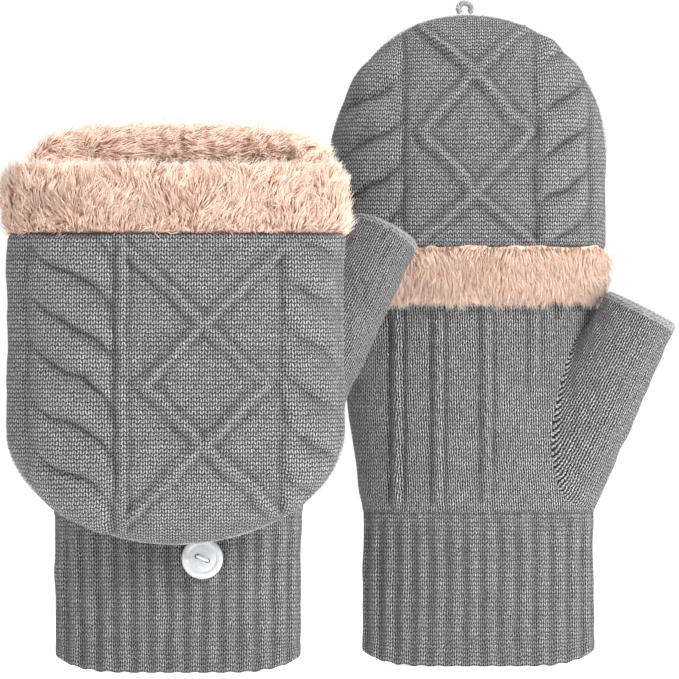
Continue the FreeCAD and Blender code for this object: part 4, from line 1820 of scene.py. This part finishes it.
        inner = np.stack([
            thumb.point(np.maximum(leaves + 0.05, 0.0) * (1 - s) + end * s, turn, 1.8)
            for s in np.linspace(0, 1, 12)
        ])
        inner[0] = thumb.point(leaves + 0.03, turn, 1.2)
        course = np.linalg.norm(np.diff(outer, axis=0), axis=2)
        course = np.concatenate([np.zeros((1, count + 1)), np.cumsum(course, axis=0)])
        wale = np.broadcast_to(-turn / (2 * math.pi) * 48, course.shape)
        stitches = np.stack([wale, (course - course[-1:]) / 1.45], axis=2)
        piece = Cloth.sleeve(self.name("thumb"), self.place, outer, inner, stitches)
        root = thumb.point(np.zeros(1), turn)
        girth = float(np.linalg.norm(np.diff(root, axis=0), axis=1).sum())
        return self.settle(piece, "thumb_sleeve", "hand", "thumb_knit_grey", cut, girth)

    def build_thumb_hem(self) -> bpy.types.Object:
        """The bound edge of the thumb: strands of edge yarn round its end."""
        turn = np.linspace(0, 2 * math.pi, 90, endpoint=False)
        rope = Rope(plies=2, ply_radius=0.5, twist_radius=0.28, pitch=3.4, sides=6)
        parts = []
        for k, (share, inset) in enumerate(((0.978, 0.2), (0.992, 0.15), (1.001, 0.9))):
            path = self.form.thumb.point(self.form.thumb.end(turn, share), turn, inset)
            parts.append(rope.lay(self.name(f"thumb_edge_{k}"), path, self.place, closed=True))
        piece = Bench.join(self.name("thumb_hem"), parts)
        return self.settle(piece, "thumb_hem", "hand", "edge_yarn_grey")

    # -- the cap
    def mouth(self, y: Array, edge: float, lift: float = 0.0) -> Array:
        """Height of the cap's mouth at a depth, closed."""
        hinge = self.place.hinge_z + 0.5 + lift
        form = self.form
        reached = (y - form.mouth_start) / (form.mouth_level - form.mouth_start)
        return hinge + (edge - hinge) * np.clip(reached, 0, 1)

    def cap_grid(
        self, shares: Array, inset: float, straight: int, dome: int, edge: float
    ) -> tuple[Array, Array, Array]:
        """Points of the closed cap's surface from its mouth to its tip.

        Args:
            shares: columns.
            inset: how far inside the surface.
            straight: rows up to the dome.
            dome: rows of the dome.
            edge: height of the mouth on the palm side.

        Returns:
            The points, each row's girth, and each row's length along the face's middle.
        """
        form = self.form
        half_w = form.cap_width / 2 - inset
        half_d = form.cap_depth / 2 - inset
        across, through = Girth(shares, half_d / half_w).directions()
        middle_y = form.cap_back + form.cap_depth / 2
        base_y = middle_y + half_d * through
        start = self.mouth(base_y, edge)
        up = np.linspace(0, 1, straight, endpoint=False)
        low = start[None, :] + (form.dome_z - start)[None, :] * up[:, None]
        fine = np.linspace(0, math.pi / 2, 721)
        step = np.sin(fine) ** (2 / form.dome_power)
        taper = np.cos(fine) ** (2 / form.dome_power)
        height = form.dome_height - inset
        run = np.hypot(np.diff(step) * height, np.diff(taper) * (half_w * 0.35 + half_d * 0.65))
        run = np.concatenate([[0.0], np.cumsum(run)])
        at = np.interp(np.linspace(0, run[-1], dome), run, fine)
        step = np.sin(at) ** (2 / form.dome_power)
        taper = np.clip(np.cos(at), 0, 1) ** (2 / form.dome_power)
        taper[-1] = 0.0
        domed = np.broadcast_to((form.dome_z + step * height)[:, None], (dome, len(shares)))
        z = np.concatenate([low, domed])
        size = np.concatenate([np.ones(straight), taper])[:, None]
        lean = np.concatenate([np.zeros(straight), step * form.tip_lean])[:, None]
        x = -form.cap_shift + half_w * size * across[None, :]
        x = x + form.shoulder * ridge(z - form.shoulder_z, 20.0) * np.clip(-across, 0, 1)[None, :]
        y = middle_y - lean + half_d * size * through[None, :]
        girth = 2.0 * (half_w + half_d) * 1.62 * size[:, 0]
        front = np.argmin(np.abs(shares - 0.25))
        line = np.stack([y[:, front], z[:, front]], axis=1)
        length = np.concatenate([[0.0], np.cumsum(np.linalg.norm(np.diff(line, axis=0), axis=1))])
        return np.stack([x, y, z], axis=2), girth, length

    def build_cap(self) -> bpy.types.Object:
        """The cap's knitted shell with its raised pattern."""
        form = self.form
        shares = split_columns(form.front_columns, form.back_columns)
        straight = int((form.dome_z - form.knit_edge) / 0.52)
        dome = int(form.dome_height * 1.25 / 0.52)
        outer, girths, lengths = self.cap_grid(shares, 0.0, straight, dome, form.knit_edge)
        cut = outer
        x, z = outer[..., 0], outer[..., 2]
        shown = 2 * self.place.hinge_z - z if form.folded else z
        seed = 31 if form.folded else 37
        bent_x = x + 1.1 * drift(x, z, seed, 44.0)
        bent_z = shown + 1.3 * drift(x, z, seed + 1, 38.0)
        push = form.pattern.relief(bent_x, bent_z)
        facing = np.where(shares <= 0.5, 1.0, 0.55)[None, :]
        side = np.abs(np.cos(2 * math.pi * (shares - 0.25)))[None, :] ** 0.4
        tip = np.linalg.norm(outer - outer[-1:, :, :], axis=2)
        rim = (z - self.mouth(outer[..., 1], form.knit_edge))
        push = push * facing * side * blend_edge(tip, 2.0, 9.0) * blend_edge(rim, 0.0, 3.0)
        dents = 0.6 * drift(x, z, 21, 58.0) + 0.25 * drift(x, z, 22, 23.0)
        push = push + dents * blend_edge(tip, 1.0, 12.0)
        push = push - 1.2 * (1 - blend_edge(rim, 0.0, 2.5))
        push[-2:] = push[-3:-2].mean()
        normals = surface_normals(outer)
        normals[-2:] = (0.0, 0.0, 1.0)
        outer = outer + normals * push[:, :, None]
        outer[-1] = outer[-1].mean(axis=0)
        inner, _, _ = self.cap_grid(shares, self.CAP_WALL, 6, 8, form.knit_edge)
        stitches = Cloth.stitch_map(shares, girths, lengths, form.stitch)
        piece = Cloth.shell(self.name("cap"), self.place, outer, inner, stitches, form.folded, push)
        finish = f"cap_knit_{form.side.prefix}"
        return self.settle(piece, "cap_shell", "cap", finish, cut)

    def build_cap_lining(self) -> bpy.types.Object:
        """The plush lining inside the cap."""
        form = self.form
        shares = np.linspace(0, 1, 121)
        outer, girths, lengths = self.cap_grid(shares, 2.0, 20, 24, form.knit_edge)
        inner, _, _ = self.cap_grid(shares, 3.8, 20, 24, form.knit_edge)
        lump = 0.6 * drift(inner[..., 0], inner[..., 2], 27, 14.0)
        lump[-3:] = 0.0
        inner = inner + surface_normals(inner) * lump[:, :, None]
        inner[-1] = inner[-1].mean(axis=0)
        stitches = Cloth.stitch_map(shares, girths, lengths, form.stitch)
        piece = Cloth.shell(self.name("cap_lining"), self.place, outer, inner, stitches, form.folded)
        return self.settle(piece, "cap_lining", "cap", "plush_lining_shaded", outer)

    def build_cap_fur(self) -> bpy.types.Object:
        """The puffy band of plush round the cap's mouth."""
        form = self.form
        shares = np.linspace(0, 1, 221)
        half_w, half_d = form.cap_width / 2, form.cap_depth / 2
        across, through = Girth(shares, half_d / half_w).directions()
        line = np.stack(
            [-form.cap_shift + half_w * across, form.cap_back + half_d + half_d * through], axis=1
        )
        outward = np.stack([across / half_w, through / half_d], axis=1)
        outward /= np.linalg.norm(outward, axis=1, keepdims=True)
        low = self.mouth(line[:, 1], form.fur_edge)
        high = self.mouth(line[:, 1], form.knit_edge) + 1.2
        ring = FurRing(thick_out=-0.6, thick_in=8.0 if form.folded else 3.6, seed=SEED + 9)
        base = ring.roll(line, outward, np.minimum(low + 2.2, high - 2.0), high)
        if form.folded:
            base = self.place.fold(base)
        backing = FurRing.backing(self.name("cap_fur_backing"), base, self.place)
        cell = (base[:-1, :-1] + base[1:, 1:]) / 2
        tall = np.clip((high - low)[:-1] / 6.0, 0.05, 1.0)[None, :]
        turn = (np.arange(ring.sides) + 0.5) / ring.sides * 2 * math.pi
        outside = 0.3 + 0.7 * blend_edge(np.cos(turn), -0.5, 0.2)[:, None]
        facing = np.abs(cell[..., 1]) > (form.cap_back + half_d) * 0.9
        weight = outside * tall * np.where(facing, 1.0, 0.55)
        knit_line = 2 * self.place.hinge_z - high[:-1] if form.folded else high[:-1]
        covered = np.abs(cell[..., 2] - knit_line[None, :])
        weight = weight * blend_edge(covered, 0.6, 2.6)
        pile = Pile(length=6.2, lay=(0.1, 0.0, 0.7), lift=0.5, seed=SEED + 10)
        if not form.folded:
            pile = Pile(length=6.0, lay=(0.05, 0.0, -1.3), lift=0.36, stray=0.8, seed=SEED + 10)
        strands = pile.grow(self.name("cap_fur_pile"), base, weight, self.place)
        piece = Bench.join(self.name("cap_fur"), [backing, strands])
        return self.settle(piece, "cap_fur_band", "cap", "plush_peach")

    def build_crown_seam(self) -> bpy.types.Object:
        """The raised linking that joins the cap's two faces round its tip."""
        form = self.form
        shares = np.array([0.0, 0.5])
        grid, _, _ = self.cap_grid(shares, 0.45, 2, 60, form.dome_z - 2)
        sides = grid[2:]
        path = np.concatenate([sides[2:, 0], sides[::-1, 1][1:-2]], axis=0)
        rope = Rope(plies=3, ply_radius=0.55, twist_radius=0.5, pitch=4.6, sides=6)
        piece = rope.lay(self.name("crown_seam"), path, self.place, folded=form.folded)
        return self.settle(piece, "crown_seam", "cap", "seam_yarn_grey")

    def build_knuckle_seam(self) -> bpy.types.Object:
        """The seam across the knuckles that the cap is sewn to."""
        low, high = self.place.span("knuckle_seam")
        height = (low[2] + high[2]) / 2
        middle_x, middle_y, half_w, half_d = self.form.hand.at(np.array([height]), -0.35)
        turn = np.linspace(1.06 * math.pi, 1.94 * math.pi, 90)
        x = middle_x + half_w * np.sign(np.cos(turn)) * np.abs(np.cos(turn)) ** (2 / 2.25)
        y = middle_y + half_d * np.sign(np.sin(turn)) * np.abs(np.sin(turn)) ** (2 / 2.25)
        path = np.stack([x, y, np.full(len(turn), height)], axis=1)
        piece = Rope(plies=3, ply_radius=0.5, twist_radius=0.42, pitch=4.2, sides=6).lay(
            self.name("knuckle_seam"), path, self.place
        )
        return self.settle(piece, "knuckle_seam", "hand", "seam_yarn_grey")

    def build_knuckle_fold(self) -> bpy.types.Object:
        """The strip of knit that crosses the hinge from the hand to the cap's back edge."""
        form = self.form
        hinge = self.place.hinge_z
        below, above, thick = -4.1, 1.5, 0.9
        middle_x, middle_y, half_w, half_d = form.hand.at(np.array([hinge + below]))
        side = np.linspace(-0.93, 0.93, 121)
        x = middle_x + half_w * side
        hand_y = middle_y - half_d * (1 - np.abs(side) ** 2.25) ** (1 / 2.25)
        cap_w, cap_d = form.cap_width / 2, form.cap_depth / 2
        across = np.clip(np.abs((x + form.cap_shift) / cap_w), 0, 1)
        cap_y = form.cap_back + cap_d * (1 - (1 - across**2.25) ** (1 / 2.25))
        rows = np.linspace(0, 1, 15)[:, None]
        y = (hand_y - 0.1) * (1 - rows) + (cap_y + 0.3) * rows
        z = below * (1 - rows) + above * rows + 0 * y
        if form.folded:
            away = -(cap_y + 0.3)
            y = (hand_y - 0.1) * (1 - rows) + away * rows
            z = below * (1 - rows) - above * rows + 7.2 * rows * (1 - rows) + 0 * y
        outer = np.stack([np.broadcast_to(x, y.shape), y, hinge + z], axis=2)
        normal = np.stack([0 * y, -np.gradient(z, axis=0), np.gradient(y, axis=0)], axis=2)
        normal /= np.linalg.norm(normal, axis=2, keepdims=True)
        normal *= -1.0 if form.folded else 1.0
        inner = outer + normal * thick
        loop = np.concatenate([outer, inner[::-1], outer[:1]], axis=0)
        courses = np.linspace(0, 8, len(loop))[:, None]
        stitches = np.stack(np.broadcast_arrays(side * 28.0, courses), axis=2)
        for end in (0, -1):
            loop[:, end] = loop[:, end].mean(axis=0)
        piece = Bench.close(Bench.panel(self.name("knuckle_fold"), self.place.to_row(loop), stitches))
        self.finishes.dress(piece, "palm_knit_fine")
        ends = self.place.to_row(np.array([(0.0, y[k].mean(), hinge + z[k, 0]) for k in (0, -1)]))
        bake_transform(piece)
        log.info("%s: %d faces", piece.name, len(piece.data.polygons))
        return piece

    # -- the fastening
    def dress_button(self) -> None:
        """The turned button and its thread, edges rounded, hanging a little askew."""
        palm = self.form.side.palm
        low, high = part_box(self.place.node("button"))
        middle = (Vector(low) + Vector(high)) / 2
        roll = Matrix.Rotation(math.radians(self.BUTTON_ROLL) * palm, 4, "Y")
        nod = Matrix.Rotation(-math.radians(self.BUTTON_NOD) * palm, 4, "X")
        out = Matrix.Translation(middle + Vector((0.0, -self.BUTTON_SLACK * MM * palm, 0.0)))
        lean = out @ nod @ roll @ Matrix.Translation(-middle)
        for piece, finish, slot in (
            ("button", "button_plastic", Slot.BUTTON),
            ("button_thread", "thread_white", Slot.THREAD),
        ):
            node = FRAME["nodes"][self.place.node(piece)]
            item = bpy.data.objects.new(self.name(piece), node.data.copy())
            bpy.context.scene.collection.objects.link(item)
            Bench.close(item, 0.01 * MM)
            Bench.take(item)
            bevel = item.modifiers.new("round", "BEVEL")
            bevel.width = 0.12 * MM
            bevel.segments = 2
            bevel.limit_method = "ANGLE"
            bevel.angle_limit = math.radians(24.0)
            bpy.ops.object.modifier_apply(modifier=bevel.name)
            bpy.ops.object.shade_smooth_by_angle(angle=math.radians(35.0))
            item.data.transform(lean)
            self.settle(item, piece, "button", finish)

    def build_loop(self) -> bpy.types.Object:
        """The twisted yarn loop at the cap's tip."""
        low, high = self.place.span("button_loop")
        middle = (low + high) / 2
        half = (high[0] - low[0]) / 2 - 0.8
        if self.form.folded:
            bottom, top, slot_y = low[2] + 0.8, high[2] - 0.8, high[1] - 0.8
            turn = np.linspace(math.pi, 2 * math.pi, 24)
            bend_z = bottom + half
            curve = np.stack(
                [middle[0] + half * np.cos(turn), np.full(24, slot_y), bend_z + half * np.sin(turn)], axis=1
            )
            left = np.array([[middle[0] - half, -1.9, top], [middle[0] - half, slot_y - 1.2, top - 4.0],
                             [middle[0] - half, slot_y, top - 7.5]])
            right = left[::-1] * (1, 1, 1) + np.array((2 * half, 0, 0))
            path = np.concatenate([left, curve, right], axis=0)
            body = "cap"
        else:
            bottom, top = low[2], high[2] - 0.8
            turn = np.linspace(-0.28 * math.pi, 1.28 * math.pi, 40)
            rise = 2.1
            path = np.stack([middle[0] - 1.0 + 2.3 * np.cos(turn), np.full(40, middle[1]),
                             top - 0.6 - rise + rise * np.sin(turn)], axis=1)
            path[:, 2] = np.maximum(path[:, 2], bottom + 0.1)
            body = "loop"
        rope = Rope(plies=3, ply_radius=0.6, twist_radius=0.55, pitch=3.0, sides=7)
        piece = rope.lay(self.name("button_loop"), path, self.place, step=0.3)
        return self.settle(piece, "button_loop", body, "seam_yarn_grey")

    def build(self) -> None:
        """Build every piece of the mitten in order."""
        self.build_cuff()
        self.build_hand()
        self.build_hand_lining()
        self.build_finger_band()
        self.build_lip()
        self.build_thumb()
        self.build_thumb_hem()
        self.build_cap()
        self.build_cap_lining()
        self.build_cap_fur()
        self.build_crown_seam()
        self.build_knuckle_seam()
        self.build_knuckle_fold()
        self.build_loop()
        self.dress_button()


def left_form() -> MittenForm:
    """Sizes of the left mitten, which stands with its cap folded back."""
    hand = Section(
        z=np.array([57.0, 78.0, 100.0, 125.0, 152.6, 155.0, 163.0]),
        width=np.array([90.0, 94.0, 98.0, 100.0, 101.0, 102.0, 102.0]),
        depth=np.array([34.0, 34.0, 34.0, 32.4, 31.6, 27.0, 27.0]),
        back=np.array([1.2, 1.2, 1.2, 1.2, 1.2, 5.6, 5.6]),
        shift=np.zeros(7),
    )
    pattern = Pattern(
        Lattice(x=9.9, z=105.3, half_width=22.5, half_height=21.8),
        (
            Cable(low_x=-53.5, high_x=-22.5, pitch=18.0, slant=-0.35, phase=127.0, hook=-7.0, rib=2.6),
            Cable(low_x=38.2, high_x=58.5, pitch=18.0, slant=-0.45, phase=120.0, hook=-4.0),
        ),
    )
    thumb = Thumb((40.0, 27.0, 92.0), (75.7, 51.0, 160.4), 33.0, 27.0, 25.5, 21.0)
    return MittenForm(
        side=Side.LEFT, folded=True, hand=hand, cuff_top=57.0, hem=(89.0, 34.0), ribs=32,
        finger_width=102.0, finger_depth=27.0, finger_back=5.6, finger_shift=0.0,
        lip_back=174.0, lip_palm=190.0,
        cap_width=122.0, cap_depth=38.0, cap_shift=0.5, dome_z=221.0, dome_height=41.5, knit_edge=150.0,
        fur_edge=126.0, mouth_start=3.0, mouth_level=21.0, pattern=pattern, thumb=thumb,
        stitch=Stitch(1.85, 1.55), front_columns=262, back_columns=80, dome_power=1.95,
    )


def right_form() -> MittenForm:
    """Sizes of the right mitten, which stands palm forward with its cap closed."""
    hand = Section(
        z=np.array([57.0, 75.0, 100.0, 128.0, 147.6, 150.0, 158.0]),
        width=np.array([85.0, 88.0, 93.0, 93.0, 91.0, 88.0, 88.0]),
        depth=np.array([34.0, 36.0, 36.5, 35.0, 34.0, 29.0, 29.0]),
        back=np.array([1.2, 1.2, 1.2, 1.2, 1.2, 5.6, 5.6]),
        shift=np.array([0.0, 1.0, 2.0, 2.4, 3.4, 3.4, 3.4]),
    )
    pattern = Pattern(
        Lattice(x=-1.5, z=197.0, half_width=19.6, half_height=22.3, spread=1.3, reach=1.7),
        (
            Cable(low_x=-53.5, high_x=-27.8, pitch=16.5, slant=0.4, phase=160.0, hook=4.0),
            Cable(low_x=21.5, high_x=40.5, pitch=16.5, slant=0.5, phase=160.0, hook=3.0),
        ),
    )
    thumb = Thumb((27.2, 18.0, 68.0), (59.9, 32.0, 131.6), 37.5, 29.0, 27.8, 22.0, skew=0.036)
    return MittenForm(
        side=Side.RIGHT, folded=False, hand=hand, cuff_top=57.0, hem=(86.0, 34.0), ribs=31,
        finger_width=88.0, finger_depth=29.0, finger_back=5.6, finger_shift=3.4,
        lip_back=168.0, lip_palm=180.0,
        cap_width=102.0, cap_depth=40.0, cap_shift=3.9, dome_z=187.0, dome_height=53.0, knit_edge=154.6,
        fur_edge=134.7, mouth_start=10.0, mouth_level=28.0, pattern=pattern, thumb=thumb,
        stitch=Stitch(1.6, 1.5), front_columns=225, back_columns=140, shoulder=2.4,
    )


# ---------------------------------------------------------------------------------------- the studio
@dataclass
class Studio:
    """Floor, light and camera.

    Attributes:
        lens: focal length in millimetres.
        view_width: width of the view at the nearer mitten, in metres.
        centre_height: height of the view's middle.
        elevation: camera's height angle in degrees.
        centre_x: middle of the view across.
        fill: strength of the surround's light.
    """

    lens: float = 700.0
    view_width: float = 0.2465
    centre_height: float = 0.1212
    elevation: float = 0.5
    centre_x: float = -0.001
    fill: float = 0.3

    def build(self) -> None:
        """Set up the floor, the world, the lights and the camera."""
        self.add_floor()
        self.add_world()
        self.add_light("key", (1.35, -1.1, 0.95), (0.5, 0.6), 44.0)
        self.add_light("front", (-0.5, -2.0, 0.7), (1.0, 1.0), 11.0)
        self.add_light("top", (0.1, 0.1, 1.7), (0.8, 0.8), 18.0)
        self.add_camera()
        bpy.context.scene.view_settings.view_transform = "Standard"

    def add_floor(self) -> None:
        """A plain pale floor."""
        Bench.clear_selection()
        bpy.ops.mesh.primitive_circle_add(vertices=96, radius=3.0, fill_type="NGON")
        floor = bpy.context.active_object
        floor.name = "studio_floor"
        graph = Graph("floor_white")
        tone = graph.ramp(graph.noise(graph.node("TexCoord").outputs["Object"], 3.0), (
            (0.3, (0.93, 0.93, 0.93)), (0.7, (0.96, 0.96, 0.96))))
        graph.feed(graph.shader.inputs["Base Color"], tone)
        graph.set(Roughness=0.9, Specular_IOR_Level=0.1)
        graph.set(Emission_Strength=0.85)
        graph.shader.inputs["Emission Color"].default_value = (1.0, 1.0, 1.0, 1.0)
        floor.data.materials.append(graph.material)

    def add_world(self) -> None:
        """An even, pale surround."""
        world = bpy.data.worlds.new("studio")
        bpy.context.scene.world = world
        world.use_nodes = True
        tree = world.node_tree
        seen = tree.nodes["Background"]
        seen.inputs["Color"].default_value = (1.0, 1.0, 1.0, 1.0)
        seen.inputs["Strength"].default_value = 1.0
        fill = tree.nodes.new("ShaderNodeBackground")
        fill.inputs["Color"].default_value = (0.97, 0.985, 1.0, 1.0)
        fill.inputs["Strength"].default_value = self.fill
        path = tree.nodes.new("ShaderNodeLightPath")
        mix = tree.nodes.new("ShaderNodeMixShader")
        tree.links.new(path.outputs["Is Camera Ray"], mix.inputs[0])
        tree.links.new(fill.outputs[0], mix.inputs[1])
        tree.links.new(seen.outputs[0], mix.inputs[2])
        tree.links.new(mix.outputs[0], tree.nodes["World Output"].inputs[0])

    def add_light(
        self, name: str, where: tuple[float, float, float], size: tuple[float, float], power: float
    ) -> None:
        """Add a soft light aimed at the pair.

        Args:
            name: the light's name.
            where: its place in metres.
            size: its width and height in metres.
            power: its power in watts.
        """
        lamp = bpy.data.lights.new(name, "AREA")
        lamp.shape = "RECTANGLE"
        lamp.size, lamp.size_y = size
        lamp.energy = power
        item = bpy.data.objects.new(name, lamp)
        item.location = where
        aim = Vector((0, 0, self.centre_height)) - Vector(where)
        item.rotation_euler = aim.to_track_quat("-Z", "Y").to_euler()
        bpy.context.scene.collection.objects.link(item)

    def add_camera(self) -> None:
        """A distant camera straight in front of the pair."""
        camera = bpy.data.cameras.new("camera")
        camera.lens = self.lens
        camera.sensor_width = 36.0
        camera.clip_end = 50.0
        item = bpy.data.objects.new("camera", camera)
        near = -0.0345
        distance = self.lens / 36.0 * self.view_width
        angle = math.radians(self.elevation)
        item.location = (
            self.centre_x, near - distance * math.cos(angle), self.centre_height + distance * math.sin(angle)
        )
        aim = Vector((self.centre_x, near, self.centre_height)) - item.location
        item.rotation_euler = aim.to_track_quat("-Z", "Y").to_euler()
        bpy.context.scene.collection.objects.link(item)
        bpy.context.scene.camera = item


FRAME: dict = {}


def main() -> None:
    """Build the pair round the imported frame."""
    logging.basicConfig(level=logging.INFO)
    FRAME.update(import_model())
    finishes = Finishes()
    for form in (left_form(), right_form()):
        Mitten(form, finishes).build()
    Studio().build()
    bpy.context.view_layer.update()


if __name__ == "__main__":
    main()
